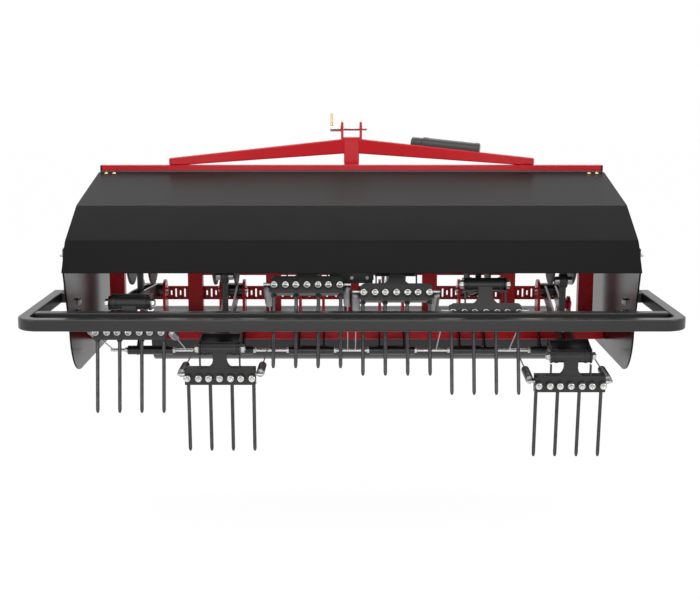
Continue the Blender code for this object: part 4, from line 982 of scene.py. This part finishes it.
    def headstock(self) -> None:
        """Make the two sloping braces, the mast, the ears and the top link pin."""
        run = BRACE_APEX - BRACE_FOOT
        bottom = BEAM_TOP + SEAM
        shape = [(0.0, bottom), (self.brace_foot_length, bottom), (run.length, self.brace_end_low),
                 (run.length, BRACE_TOP),
                 (0.0, bottom + BRACE_END)]
        stock = Bench()
        for side in (-1, 1):
            turn = Matrix.Rotation(math.atan2(run.y, side * run.x), 4, "Z")
            stock.plate(shape, -BRACE_HALF, BRACE_HALF, "Y", shift=(side * BRACE_FOOT.x, BRACE_FOOT.y, 0.0),
                        turn=turn)
        stock.make("headstock_braces", RED_PAINT, "root", "headstock", rounding=0.005, segments=3)
        mast = Bench()
        half = self.mast_half
        mast.box((-half, self.mast_rear, 0.700), (half, self.mast_front, 0.880))
        mast.box((-half, self.top_front + SEAM, self.top_low), (half, self.mast_rear + 0.005, BEAM_TOP))
        mast.box((-0.042, 0.759, 0.876), (0.042, 0.825, 0.890))
        mast.make("headstock_mast", RED_PAINT, "root", "headstock", rounding=0.003)
        ears = Bench()
        y, z = self.top_eye
        reach, foot = self.top_ear_radius, self.top_ear_foot
        for side in (-1, 1):
            ears.eye(((y + reach, foot), (y - reach, foot)), self.top_eye, reach, 0.0102,
                     (side * self.top_ears[0], side * self.top_ears[1]))
        ears.make("top_link_ears", RED_PAINT, "root", "headstock", rounding=0.0012)
        pin = Bench()
        for steps in ([(0.0, 0.0085), (0.001, 0.0095), (0.145, 0.0095), (0.147, 0.0075)],
                      [(0.0, 0.0125), (0.0015, 0.014), (0.041, 0.014), (0.0427, 0.0125)]):
            pin.turned(steps, (self.top_pin_start, y, z), (1, 0, 0), 28)
        pin.make("top_link_shank", ZINC, "top_link_pin", "top_link_pin")
        handle = Bench()
        handle.turned([(0.0, 0.005), (0.058, 0.005), (0.060, 0.003)], (self.handle_place, y, z),
                      (0, 0, 1), 20)
        handle.make("top_link_handle", YELLOW_ZINC, "top_link_pin", "top_link_pin")

    def build(self) -> None:
        """Build the whole frame."""
        self.top_beam()
        self.lower_beam()
        self.lugs()
        self.slotted_bar()
        self.hitch()
        self.headstock()


@dataclass
class Guard:
    """The rear guard loop and its brackets."""

    tube: float = 0.040
    half: float = 1.107
    rear: float = -0.257
    front: float = 0.340
    height: float = 0.327
    corner: float = 0.080
    inner_rear: float = -0.130
    rounding: float = 0.0055
    bracket: float = 0.9753
    bracket_top: float = 0.500
    bracket_wall: float = 0.010
    upright: float = 1.048
    upright_half: float = 0.013
    shoulder: float = 0.504
    point: float = 0.522
    middle: float = 0.300
    plate_reach: float = 0.070
    spacer_reach: float = 0.030
    spacer_end: float = 1.0667
    bolt_reach: float = 0.045
    bolt_height: float = 0.475

    def loop(self) -> None:
        """Make one bent tube with the straight inner tube welded across it."""
        inner = self.half - self.tube
        tight = self.corner - self.tube
        low = self.height - self.tube / 2
        outside = arc(self.half - self.corner, self.rear + self.corner, self.corner, 0, -90)
        inside = arc(inner - tight, self.rear + self.tube + tight, tight, 0, -90)
        right = list(reversed(outside)) + [(self.half, self.front), (inner, self.front)] + inside
        tube = Bench()
        tube.plate(mirrored(right), low, low + self.tube, "Z")
        tube.make("guard_loop", SATIN_BLACK, "root", "rear_guard", rounding=self.rounding, segments=4)
        cross = Bench()
        cross.box((-inner - 0.001, self.inner_rear, low + 0.0005),
                  (inner + 0.001, self.inner_rear + self.tube, low + self.tube - 0.0005))
        cross.make("guard_inner_tube", SATIN_BLACK, "root", "rear_guard", rounding=self.rounding, segments=4)

    def brackets(self) -> None:
        """Make the plate, spacer and pointed upright at each side."""
        low = self.height - self.tube / 2
        inside, wall, half, middle = self.bracket, self.bracket_wall, self.upright_half, self.middle
        levels = (inside + wall, inside + wall + 0.002, inside + wall + 0.011)
        shape = [(-half, low + 0.010), (half, low + 0.010), (half, self.shoulder),
                 (0.0, self.point), (-half, self.shoulder)]
        for name, side in SIDES:
            bracket = Bench()
            bracket.box((side * inside, middle - self.plate_reach, low - 0.03),
                        (side * (inside + wall), middle + self.plate_reach, self.bracket_top))
            bracket.box((side * (inside + 0.002), middle - self.spacer_reach, low + 0.002),
                        (side * self.spacer_end, middle + self.spacer_reach, low + self.tube - 0.002))
            bracket.plate(shape, -half, half, "Y", shift=(side * self.upright, middle, 0.0))
            bracket.make(f"guard_mount_{name}", SATIN_BLACK, "root", f"guard_bracket_{name}",
                         rounding=0.002, segments=3)
            bolts = Bench()
            for y in (middle - self.bolt_reach, middle + self.bolt_reach):
                bolts.hexagon(levels, side, (y, self.bolt_height), 0.0140, 0.0115)
            bolts.cross(side * 1.055, side * 1.073, (middle, 0.482), 0.006, 20)
            bolts.make(f"guard_bolts_{name}", ZINC, "root", f"guard_bracket_{name}", rounding=0.001)

    def build(self) -> None:
        """Build the guard."""
        self.loop()
        self.brackets()


@dataclass
class Drive:
    """The crankshaft, gearbox and input shaft."""

    shaft: float = 0.018
    shaft_half: float = 0.950
    cheek: float = 0.120
    cheek_inner: float = 0.034
    cheek_depth: float = 0.008
    input_end: float = 0.840
    input_radius: float = 0.0175
    spline_foot: float = 0.0145
    spline_length: float = 0.080
    spline_count: int = 6
    gear_start: float = -0.0310
    snout_half: float = 0.040
    snout_end: float = 0.5597
    rib_spacing: float = 0.08
    bolt_grid: tuple[tuple[float, ...], Point] = ((-0.055, 0.0, 0.055), (0.425, 0.575))
    case_rear: float = 0.130
    case_front: float = 0.440
    case_half: float = 0.074
    case_wall: float = 0.008
    case_low: float = 0.406
    case_high: float = 0.594

    def crankshaft(self) -> None:
        """Make the shaft with its round cheeks and the large bevel gear."""
        shaft = Bench()
        shaft.cross(-self.shaft_half, self.shaft_half, CRANK, self.shaft, 40)
        for centre in HEAD_PLACES:
            for side in (-1, 1):
                face = centre + side * self.cheek_inner
                shaft.bar((face, *CRANK), self.cheek_depth, self.cheek, 64, (0.001, 0.001), (side, 0, 0))
                shaft.turned([(0.0, 0.030), (0.014, 0.028), (0.016, 0.026)],
                             (face + side * self.cheek_depth, *CRANK), (side, 0, 0))
        shaft.turned([(0.0, 0.0620), (0.0105, 0.0400)], (self.gear_start, *CRANK), (1, 0, 0), 48)
        shaft.make("crank_shaft", FORGED_STEEL, "crankshaft", "crankshaft")

    def input(self) -> None:
        """Make the input shaft with its pinion and six-splined end."""
        y, z = CRANK
        shaft = Bench()
        splines = self.input_end - y - self.spline_length
        plain, foot = self.input_radius, self.spline_foot
        for steps in ([(0.042, plain), (splines, plain), (splines + 0.005, foot)],
                      [(0.0403, 0.0200), (0.0625, 0.0310)]):
            shaft.turned(steps, (0.0, y, z), (0, 1, 0))
        outline = []
        for tooth in range(self.spline_count):
            base = 360 / self.spline_count * tooth
            outline += arc(0.0, z, foot, base - 16, base + 16, 4)
            outline += arc(0.0, z, plain, base + 17, base + 43, 4)
        shaft.plate(outline, y + splines + 0.001, self.input_end, "Y")
        shaft.make("splined_shaft", MACHINED_STEEL, "input_shaft", "input_shaft", rounding=0.0006)

    def gearbox(self) -> None:
        """Make the casing with ribs, cover and bolts, and the snout round the input shaft."""
        y, z = CRANK
        rear, front, half, wall = self.case_rear, self.case_front, self.case_half, self.case_wall
        low, high = self.case_low, self.case_high
        case = Bench()
        side_wall = [(rear + 0.002, low + 0.001), (front - 0.002, low + 0.001), (front - 0.002, high - 0.001),
                     (rear + 0.002, high - 0.001)]
        for left in (-0.075, 0.067):
            case.plate(side_wall, left, left + wall, holes=[circle(y, z, 0.0186)])
        case.box((-0.070, rear, low), (0.070, rear + wall, high))
        for bottom in (low - 0.001, high - wall + 0.001):
            case.box((-half, rear + 0.001, bottom), (half, front - 0.001, bottom + wall))
        shaft_hole = [circle(0.0, z, 0.0181)]
        cover = [(-half, low), (half, low), (half, high), (-half, high)]
        case.plate(cover, front - wall, front, "Y", holes=shaft_hole)
        wide = self.snout_half
        snout = [(-wide, 0.430), (wide, 0.430), (wide, 0.570), (-wide, 0.570)]
        case.plate(snout, front - 0.001, self.snout_end, "Y", holes=shaft_hole)
        case.make("gear_casing", BLACK_CASTING, "root", "gearbox", rounding=0.004, segments=3)
        ribs = Bench()
        for side in (-1, 1):
            for at in (y - self.rib_spacing, y, y + self.rib_spacing):
                ribs.box((side * 0.0745, at - 0.004, 0.409), (side * 0.0790, at + 0.004, 0.452))
        ribs.make("casing_ribs", BLACK_CASTING, "root", "gearbox", rounding=0.0012)
        bolts = Bench()
        for x in self.bolt_grid[0]:
            for height in self.bolt_grid[1]:
                bolts.rod((x, rear + 0.0005, height), (x, rear - 0.0060, height), 0.0065, 6)
        bolts.make("casing_bolts", ZINC, "root", "gearbox", rounding=0.0006)

    def build(self) -> None:
        """Build the drive."""
        self.crankshaft()
        self.input()
        self.gearbox()


@dataclass
class TineHead:
    """One tine head with its arm, connecting rod and springs."""

    number: int
    joints: dict[str, dict]
    plate_half: float = 0.1225
    plate_top: float = -0.066
    plate_bottom: float = -0.126
    plate_rear: float = -0.021
    plate_depth: float = 0.021
    plate_corner: float = 0.016
    neck_half: float = 0.024
    flare: float = 0.034
    boss_reach: float = 0.0095
    tube_half: float = 0.066
    tube_radius: float = 0.0225
    collar_place: float = 0.046
    collar_radius: float = 0.0245
    nut_seat: float = 0.0655
    washer_face: float = 0.0721
    nut_face: float = 0.0741
    nut_end: float = 0.0851
    stud_root: float = 0.1210
    bolt_height: float = -0.099
    bolt_face: float = -0.040
    bolt_radius: float = 0.0115
    bolt_places: tuple[float, ...] = (-0.112, -0.073, -0.038, 0.0, 0.038, 0.073, 0.112)
    tine_pitch: float = 0.0762
    tine_radius: float = 0.00635
    tine_drop: float = 0.255
    bar_depth: float = 0.026
    arm_length: float = 0.530
    bridge_back: float = 0.080
    webs: Point = (0.0153, 0.0233)
    fork: Point = (0.0663, 0.0718)
    fork_radius: float = 0.025
    pivot_half: float = 0.039
    pivot_radius: float = 0.026
    pin_half: float = 0.05525
    pin_start: float = -0.0553
    pin_radius: float = 0.012
    rod_along: float = 0.300
    rod_length: float = 0.170
    rod_section: Point = (0.0095, 0.0145)
    rod_eyes: Point = (0.024, 0.026)
    rod_pins: Point = (0.0118, 0.0148)
    rod_pin_halves: Point = (0.0253, 0.0310)
    rod_behind_shaft: float = 0.065
    stud: tuple[float, float, float] = (0.1376, -0.007, -0.092)
    coil_radius: float = 0.0125
    coil_start: float = 0.022
    coil_length: float = 0.118
    coil_pitch: float = 2.12
    wire_radius: float = 0.0020
    hook_radius: float = 0.0025
    hook_gaps: Point = (0.0055, 0.0065)
    hook_seat: float = 0.004

    def machine_point(self, joint: str) -> Vector:
        """Give the place of one of this head's joints in the machine's own coordinates."""
        return FRAME_TO_MACHINE @ Vector(self.joints[f"{joint}_{self.number}"]["pos_m"])

    @property
    def centre(self) -> float:
        """The head's place across the machine."""
        return HEAD_PLACES[self.number - 1]

    @property
    def lift(self) -> float:
        """How far the arm is raised from level."""
        pivot, tip = self.machine_point("arm_swing"), self.machine_point("head_tilt")
        return math.atan2(tip.z - pivot.z, pivot.y - tip.y)

    def placed(self, joint: str, lean: float) -> Matrix:
        """Give the matrix to the machine's frame of a piece that hangs on a joint and leans back."""
        _, y, z = self.machine_point(joint)
        return Matrix.Translation((self.centre, y, z)) @ Matrix.Rotation(-lean, 4, "X")

    @property
    def head_place(self) -> Matrix:
        """The matrix from the head's frame to the machine's."""
        return self.placed("head_tilt", HEAD_LEAN + HEAD_LEAN_SHARE * self.lift)

    @property
    def arm_place(self) -> Matrix:
        """The matrix from the arm's frame, which runs along -Y, to the machine's."""
        return self.placed("arm_swing", self.lift)

    @property
    def rod_place(self) -> Matrix:
        """The matrix from the rod's upright frame to the machine's."""
        behind = CRANK[0] - self.rod_behind_shaft - self.machine_point("rod_swing").y
        return self.placed("rod_swing", math.asin(behind / self.rod_length))

    def casting(self) -> None:
        """Make the T casting: plate, flared neck and pivot tube, with its nuts and clamp bolts."""
        body = f"tine_head_{self.number}"
        place = self.head_place
        half, corner = self.plate_half, self.plate_corner
        rear, front = self.plate_rear, self.plate_rear + self.plate_depth
        casting = Bench(place)
        right = [(half, self.plate_bottom)] + arc(half - corner, self.plate_top - corner, corner, 0, 90, 10)
        casting.plate(mirrored(right), rear, front, "Y")
        neck = [(self.neck_half, 0.0)] + arc(self.neck_half + self.flare, self.plate_top - 0.004 + self.flare,
                                             self.flare, 180, 270, 12)
        casting.plate(mirrored(neck), rear + 0.001, front - 0.001, "Y")
        for side in (-1, 1):
            casting.box((side * 0.0665, rear + 0.002, self.plate_top - 0.003),
                        (side * 0.0715, front - 0.003, -0.0280))
        casting.make(f"head_casting_{self.number}", BLACK_CASTING, body, body, rounding=0.0022, segments=3)
        boss = Bench()
        reach = self.boss_reach
        boss.turned([(-0.001, 0.0138), (0.0075, 0.0138), (reach, 0.0125), (reach, 0.0100)], (0, 0, 0),
                    (0, -1, 0), 28)
        points = [Vector((x, rear, self.bolt_height)) for x in self.bolt_places]
        REPEATS.row(f"clamp_bosses_{self.number}", boss, BLACK_CASTING, points, body, body, place=place)
        tube = Bench(place)
        tube.bar((-self.tube_half, 0, 0), 2 * self.tube_half, self.tube_radius, 48, (0.002, 0.002))
        collar = [(0.0, self.collar_radius), (0.010, self.collar_radius), (0.012, self.tube_radius)]
        for side in (-1, 1):
            tube.turned(collar, (side * self.collar_place, 0, 0), (side, 0, 0), 48)
        tube.make(f"head_pivot_tube_{self.number}", BLACK_CASTING, body, body)
        nuts = Bench(place)
        _, stud_y, stud_z = self.stud
        for side in (-1, 1):
            heading = (side, 0, 0)
            nuts.turned([(0.0, 0.0100), (0.0070, 0.0100)], (side * self.nut_seat, 0, 0), heading, 24)
            nuts.turned([(0.0, 0.0165), (0.0020, 0.0165)], (side * self.washer_face, 0, 0), heading, 32)
            nuts.rod((side * self.nut_face, 0, 0), (side * self.nut_end, 0, 0), 0.0150, 6)
            nuts.turned([(0.0, 0.0085), (0.0030, 0.0080)], (side * self.nut_end, 0, 0), heading, 20)
            nuts.turned([(0.0, 0.0050), (0.0290, 0.0050)], (side * self.stud_root, stud_y, stud_z),
                        heading, 20)
        nuts.make(f"head_nuts_{self.number}", ZINC, body, body, rounding=0.0010)
        seat = rear - reach
        radius, length = self.bolt_radius, seat - self.bolt_face
        bolt = Bench()
        bolt.turned([(0.0, radius), (length * 0.86, radius), (length, radius * 0.84), (length, radius * 0.52),
                     (length * 0.45, radius * 0.50)], (0, 0, 0), (0, -1, 0), 24)
        points = [Vector((x, seat, self.bolt_height)) for x in self.bolt_places]
        REPEATS.row(f"clamp_bolts_{self.number}", bolt, ZINC, points, body, body, place=place)

    def tines(self) -> None:
        """Make the clamp bar and four solid tines with worn, tapered tips."""
        body, node, place = f"tine_head_{self.number}", f"tine_set_{self.number}", self.head_place
        rear = self.plate_rear + self.plate_depth + SEAM
        bar = Bench(place)
        bar.box((-self.plate_half, rear, self.plate_bottom), (self.plate_half, rear + self.bar_depth, -0.070))
        bar.make(f"clamp_bar_{self.number}", BLACK_CASTING, body, node, rounding=0.0022, segments=3)
        drop, radius = self.tine_drop, self.tine_radius
        middle = rear + self.bar_depth / 2
        points = [Vector(((i - 1.5) * self.tine_pitch, middle, self.plate_bottom)) for i in range(4)]
        tine = Bench()
        tine.turned([(0.0, radius), (drop - 0.012, radius), (drop - 0.008, radius * 0.92),
                     (drop - 0.001, radius * 0.62), (drop, radius * 0.45)], (0, 0, 0.002), (0, 0, -1), 20)
        REPEATS.row(f"solid_tines_{self.number}", tine, TINE_STEEL, points, body, node, place=place)
        collar = Bench()
        collar.turned([(0.0, 0.0095), (0.006, 0.0095), (0.009, 0.0070)], (0, 0, 0.001), (0, 0, -1), 20)
        REPEATS.row(f"tine_collars_{self.number}", collar, BLACK_CASTING, points, body, node, place=place)

    def arm(self) -> None:
        """Make the swing arm: pivot tube, two side plates, bridge and fork."""
        body, place = f"swing_arm_{self.number}", self.arm_place
        bridge = self.bridge_back - self.arm_length
        waist, inner, outer = -0.330, -0.020, self.fork[1]
        shape = [(bridge - 0.006, -0.025), (waist, -0.028), (inner, -0.026), (inner, 0.026), (waist, 0.028),
                 (bridge - 0.006, 0.025)]
        arm = Bench(place)
        for side in (-1, 1):
            arm.plate(shape, side * self.webs[0], side * self.webs[1],
                      holes=[circle(-self.rod_along, 0.0, 0.0124)])
            arm.eye(((bridge - 0.002, 0.0245), (bridge - 0.002, -0.0245)), (-self.arm_length, 0.0),
                    self.fork_radius, 0.0104, (side * self.fork[0], side * outer), (90.0, 270.0))
        arm.box((-outer, bridge - 0.012, -0.025), (outer, bridge, 0.025))
        arm.make(f"arm_plates_{self.number}", SHADED_BLACK, body, body, rounding=0.0016)
        tube = Bench(place)
        tube.bar((-self.pivot_half, 0, 0), 2 * self.pivot_half, self.pivot_radius, 40)
        tube.make(f"arm_pivot_tube_{self.number}", SHADED_BLACK, body, body)
        pin = Bench(place)
        pin.bar((self.pin_start, 0, 0), 2 * self.pin_half, self.pin_radius, 28)
        pin.make(f"arm_pivot_pin_{self.number}", ZINC, body, body)

    def rod(self) -> None:
        """Make the connecting rod with its two eyes and pins."""
        body, place, length = f"connecting_rod_{self.number}", self.rod_place, self.rod_length
        rod = Bench(place)
        wide, deep = self.rod_section
        rod.box((-wide, -deep, 0.010), (wide, deep, length - 0.010))
        for half, radius, height in zip((0.0127, 0.0137), self.rod_eyes, (0, length)):
            rod.bar((-half, 0, height), 2 * half, radius, 40, (0.0015, 0.002))
        rod.make(f"rod_forging_{self.number}", BLACK_CASTING, body, body)
        pins = Bench(place)
        for half, radius, height, sides in zip(self.rod_pin_halves, self.rod_pins, (0.0, length), (28, 32)):
            pins.cross(-half, half, (0.0, height), radius, sides)
        pins.make(f"rod_pins_{self.number}", MACHINED_STEEL, body, body, rounding=0.0006)

    def springs(self) -> None:
        """Make the two return springs, close wound by the head, from its stud to the anchor rod."""
        stud_x, stud_y, stud_z = self.stud
        rim, wire_end, (near, far) = self.coil_radius + 0.001, self.hook_seat, self.hook_gaps
        turns = self.coil_length / (self.wire_radius * self.coil_pitch)
        for name, side in SIDES:
            stud = MACHINE_TO_FRAME @ (self.head_place @ Vector((side * stud_x, stud_y, stud_z)))
            anchor = MACHINE_TO_FRAME @ Vector((self.centre + side * stud_x, *ANCHOR))
            axis = (anchor - stud).normalized()
            start = stud + axis * self.coil_start
            tail = start + axis * self.coil_length
            coil = REPEATS.wound(f"spring_coil_{self.number}_{name}", start, axis,
                                 (turns, self.coil_radius, self.coil_length, self.wire_radius), SPRING_STEEL)
            hooks = Bench(FRAME_TO_MACHINE)
            for first, reach in ((stud + axis * near, (start - stud).length - near),
                                 (tail, (anchor - tail).length - far)):
                hooks.turned([(0.0, self.hook_radius), (reach, self.hook_radius)], first, axis, 12)
            hooks.turned([(0.0, wire_end), (0.003, rim), (0.005, rim), (0.006, wire_end)],
                         start - axis * 0.006, axis, 24)
            hooks.turned([(0.0, wire_end), (0.001, rim), (0.003, rim), (0.008, wire_end)], tail, axis, 24)
            ends = hooks.object(f"spring_hooks_{self.number}_{name}", SPRING_STEEL)
            for piece in (coil, ends):
                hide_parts(f"return_spring_{self.number}_{name}")
                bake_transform(piece)

    def build(self) -> None:
        """Build the whole head."""
        self.casting()
        self.tines()
        self.arm()
        self.rod()
        self.springs()


@dataclass
class Undercarriage:
    """The spring anchor bar, depth roller and its arms."""

    anchor_half: float = 0.911
    anchor_radius: float = 0.006
    sleeve_half: float = 0.085
    anchor_plate: float = 0.047
    roller_y: float = 0.720
    roller_radius: float = 0.1075
    roller_length: float = 1.590
    roller_end: float = 0.060
    recess: float = 0.014
    axle_half: float = 0.838
    arm_inner: float = 0.822
    arm_outer: float = 0.832
    arm_pin: tuple[float, float, float] = (0.823, 0.8483, 0.010)
    nut: tuple[float, float, float] = (0.0853, 0.0945, 0.0105)
    sleeve_radius: float = 0.017
    axle_radius: float = 0.018

    def anchors(self) -> None:
        """Make the rod with a sleeve and two plates behind each head."""
        rod = Bench()
        rod.cross(-self.anchor_half, self.anchor_half, ANCHOR, self.anchor_radius, 20)
        rod.make("anchor_rod", ZINC, "root", "spring_anchor_bar", rounding=0.0008)
        sleeves = Bench()
        nuts = Bench()
        near, far, nut_radius = self.nut
        shape = [(0.4497, 0.195), (0.4497, 0.098)] + arc(*ANCHOR, 0.019, 290, 110)
        for centre in HEAD_PLACES:
            sleeves.bar((centre - self.sleeve_half, *ANCHOR), 2 * self.sleeve_half, self.sleeve_radius, 32)
            for side in (-1, 1):
                place = centre + side * self.anchor_plate
                sleeves.plate(shape, place - 0.003, place + 0.003)
                nuts.cross(centre + side * near, centre + side * far, ANCHOR, nut_radius, 6)
        sleeves.make("anchor_sleeves", SHADED_BLACK, "root", "spring_anchor_bar", rounding=0.001)
        nuts.make("anchor_nuts", ZINC, "root", "spring_anchor_bar", rounding=0.0008)

    def roller(self) -> None:
        """Make the drum with its recessed ends and its axle."""
        radius, length, recess, body = self.roller_radius, self.roller_length, self.recess, "depth_roller"
        steps = [(recess, self.roller_end), (recess, radius - 0.010), (0.0, radius - 0.008),
                 (0.0, radius - 0.002),
                 (0.002, radius)]
        drum = Bench()
        drum.turned(steps + [(length - along, out) for along, out in reversed(steps)],
                    (-length / 2, self.roller_y, radius), (1, 0, 0), 96)
        drum.make("roller_drum", SATIN_BLACK, body, body)
        axle = Bench()
        axle.bar((-self.axle_half, self.roller_y, radius), 2 * self.axle_half, self.axle_radius, 40)
        axle.make("roller_axle", MACHINED_STEEL, body, body)

    def arms(self) -> None:
        """Make the cranked red arm at each end of the roller."""
        (y, z), drop_y, drop_z = ROLLER_PIVOT, self.roller_y, self.roller_radius
        shape = (arc(y, z, 0.020, 90, 270) + [(0.653, z - 0.020), (drop_y - 0.028, drop_z - 0.008)]
                 + arc(drop_y, drop_z, 0.0275, 200, 360) + [(0.689, z + 0.004)]
                 + arc(0.665, z, 0.020, 10, 90, 6))
        for name, side in SIDES:
            arm = Bench()
            arm.plate(shape, side * self.arm_inner, side * self.arm_outer,
                      holes=[circle(drop_y, drop_z, 0.0184)])
            arm.make(f"roller_swing_arm_{name}", RED_PAINT, "roller_arms", f"roller_arm_{name}",
                     rounding=0.0015)
            pin = Bench()
            start, end, radius = self.arm_pin
            pin.cross(side * start, side * end, ROLLER_PIVOT, radius, 28)
            pin.make(f"roller_pivot_{name}", ZINC, "roller_arms", f"roller_arm_{name}", rounding=0.0008)

    def build(self) -> None:
        """Build everything under the frame."""
        self.anchors()
        self.roller()
        self.arms()


@dataclass
class ManualTube:
    """The black tube for the manual, on the front of the right brace."""

    radius: float = 0.032
    neck: float = 0.024
    start_along: float = 0.215
    length: float = 0.230
    cap_length: float = 0.045
    waist: float = 0.0015
    sides: int = 56

    def axis(self) -> tuple[Vector, Vector]:
        """Find where the tube lies, level with the brace.

        Returns:
            Its first point and its heading.
        """
        run = BRACE_FOOT - BRACE_APEX
        rise = BRACE_END + BEAM_TOP + SEAM - BRACE_TOP
        outward = Vector((-run.y, run.x, 0.0)).normalized()
        start = Vector((BRACE_APEX.x, BRACE_APEX.y, BRACE_TOP)) + run.normalized() * self.start_along
        start += Vector((0, 0, rise * self.start_along / run.length))
        return start + outward * (BRACE_HALF + SEAM + self.radius), Vector((run.x, run.y, rise)).normalized()

    def build(self) -> None:
        """Build the tube and its cap."""
        start, heading = self.axis()
        cap, neck, radius, waist = self.cap_length, self.neck, self.radius, self.radius - self.waist
        end = cap + self.length
        body = Bench()
        body.turned([(0.014, neck - 0.002), (cap - 0.004, neck - 0.001), (cap, neck), (cap, radius - 0.004),
                     (cap + 0.004, radius), (cap + 0.020, radius), (cap + 0.022, waist), (end - 0.020, waist),
                     (end - 0.018, radius), (end - 0.004, radius), (end, radius - 0.005)], start, heading,
                    self.sides)
        body.make("manual_case", BLACK_PLASTIC, "root", "manual_tube")
        lid = Bench()
        reach = cap - 0.0005
        lid.turned([(0.0, neck - 0.002), (0.003, neck + 0.002), (0.006, neck + 0.004),
                    (reach - 0.002, neck + 0.004),
                    (reach, neck + 0.003)], start, heading, self.sides)
        lid.make("manual_case_lid", BLACK_PLASTIC, "manual_tube_cap", "manual_tube_cap")


@dataclass
class Studio:
    """The camera, floor and soft light of a plain studio."""

    camera_at: tuple[float, float, float] = (-0.006, -4.28, 1.124)
    pitch_down: float = 10.0
    focal_px: float = 1257.0
    frame_px: float = 700.0
    sensor_mm: float = 36.0
    floor_z: float = -0.900
    floor_half: float = 30.0
    floor_grey: float = 0.86
    floor_glow: float = 1.03
    floor_share: float = 0.93
    room_light: float = 0.55

    def camera(self) -> None:
        """Set the camera at the photograph's angle."""
        data = bpy.data.cameras.new("view")
        data.sensor_width = self.sensor_mm
        data.lens = self.sensor_mm * self.focal_px / self.frame_px
        camera = link("view", data)
        camera.location = MACHINE_TO_FRAME @ Vector(self.camera_at)
        camera.rotation_euler = (math.radians(90 - self.pitch_down), 0.0, 0.0)
        bpy.context.scene.camera = camera

    @staticmethod
    def direct_ray(tree: bpy.types.NodeTree) -> bpy.types.NodeSocket:
        """Give one where a camera, glossy or transmission ray looks at the room, and nought elsewhere.

        Args:
            tree: the material's or the world's node tree.

        Returns:
            The socket that holds it.
        """
        path = tree.nodes.new("ShaderNodeLightPath")
        found = path.outputs["Is Camera Ray"]
        for label in ("Is Glossy Ray", "Is Transmission Ray"):
            larger = wire(tree, "ShaderNodeMath", {0: found, 1: path.outputs[label]}, operation="MAXIMUM")
            found = larger.outputs[0]
        return found

    def floor(self) -> None:
        """Lay a pale floor that the camera sees as white."""
        half = self.floor_half
        mesh = bpy.data.meshes.new("studio_floor")
        corners = [(x * half, y * half, self.floor_z) for x, y in ((-1, -1), (1, -1), (1, 1), (-1, 1))]
        mesh.from_pydata(corners, [], [(0, 1, 2, 3)])
        floor = link("studio_floor", mesh)
        material = bpy.data.materials.new("studio_white")
        material.use_nodes = True
        tree = material.node_tree
        shader = tree.nodes["Principled BSDF"]
        feed(tree, shader, {"Base Color": (self.floor_grey,) * 3 + (1.0,), "Roughness": 0.9})
        glow = wire(tree, "ShaderNodeEmission", {"Strength": self.floor_glow})
        part = wire(tree, "ShaderNodeMath", {0: self.direct_ray(tree), 1: self.floor_share},
                    operation="MULTIPLY")
        mix = wire(tree, "ShaderNodeMixShader", {
            "Fac": part.outputs[0], 1: shader.outputs["BSDF"], 2: glow.outputs["Emission"]})
        feed(tree, tree.nodes["Material Output"], {"Surface": mix.outputs["Shader"]})
        mesh.materials.append(material)

    def world(self) -> None:
        """Light the room softly, and show it as white."""
        world = bpy.data.worlds.new("studio_world")
        world.use_nodes = True
        bpy.context.scene.world = world
        tree = world.node_tree
        white = (1.0, 1.0, 1.0, 1.0)
        back = tree.nodes["Background"]
        feed(tree, back, {"Strength": self.room_light, "Color": white})
        seen = wire(tree, "ShaderNodeBackground", {"Strength": 1.0, "Color": white})
        mix = wire(tree, "ShaderNodeMixShader", {
            "Fac": self.direct_ray(tree), 1: back.outputs["Background"], 2: seen.outputs["Background"]})
        feed(tree, tree.nodes["World Output"], {"Surface": mix.outputs["Shader"]})

    @staticmethod
    def lamp(name: str, at: Spot, aim: Spot, size: Point, power: float) -> None:
        """Hang one soft box.

        Args:
            name: its name.
            at: where it hangs.
            aim: what it points at.
            size: its width and height.
            power: its power in watts.
        """
        data = bpy.data.lights.new(name, "AREA")
        data.shape = "RECTANGLE"
        data.size, data.size_y = size
        data.energy = power
        lamp = link(name, data)
        lamp.location = at
        lamp.rotation_euler = (Vector(aim) - Vector(at)).to_track_quat("-Z", "Y").to_euler()

    def build(self) -> None:
        """Build the studio."""
        self.camera()
        self.floor()
        self.world()
        self.lamp("overhead_box", (0.0, -2.1, 3.2), (0.0, -0.8, 0.0), (3.6, 1.2), 50.0)
        self.lamp("ridge_strip", (0.0, 1.7, 2.7), (0.0, -0.7, 0.25), (4.5, 0.35), 45.0)
        self.lamp("left_box", (-3.6, -3.2, 1.6), (0.0, -0.7, 0.0), (1.4, 2.2), 45.0)
        self.lamp("right_box", (3.6, -3.2, 1.6), (0.0, -0.7, 0.0), (1.4, 2.2), 45.0)
        self.lamp("front_fill", (0.0, -6.2, 0.4), (0.0, -0.7, -0.2), (3.0, 1.0), 35.0)


def dress_what_is_left(frame: dict) -> None:
    """Give every node that still shows its procedural finish.

    Args:
        frame: the loaded frame.
    """
    finishes = {item.slot: item for item in (RED_PAINT, SATIN_BLACK, BLACK_CASTING, ZINC, SPRING_STEEL,
                                             TINE_STEEL,
                                             MACHINED_STEEL, BLACK_PLASTIC)}
    slots = {entry["node"]: entry["material_slot"] for entry in frame["record"]["subparts"]}
    for name, node in frame["nodes"].items():
        node.data.materials.clear()
        node.data.materials.append(SHOP.get(finishes[slots[name]]))


def main() -> None:
    """Build the machine's looks in order."""
    logging.basicConfig(level=logging.INFO, format="%(message)s")
    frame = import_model()
    bpy.context.scene.view_settings.view_transform = "Standard"
    joints = {joint["name"]: joint for joint in frame["joints"]}
    Studio().build()
    dress_what_is_left(frame)
    heads = [TineHead(number, joints) for number in range(1, HEAD_COUNT + 1)]
    for assembly in (Covers(), Frame(), Guard(), Drive(), *heads, Undercarriage(), ManualTube()):
        assembly.build()


if __name__ == "__main__":
    main()
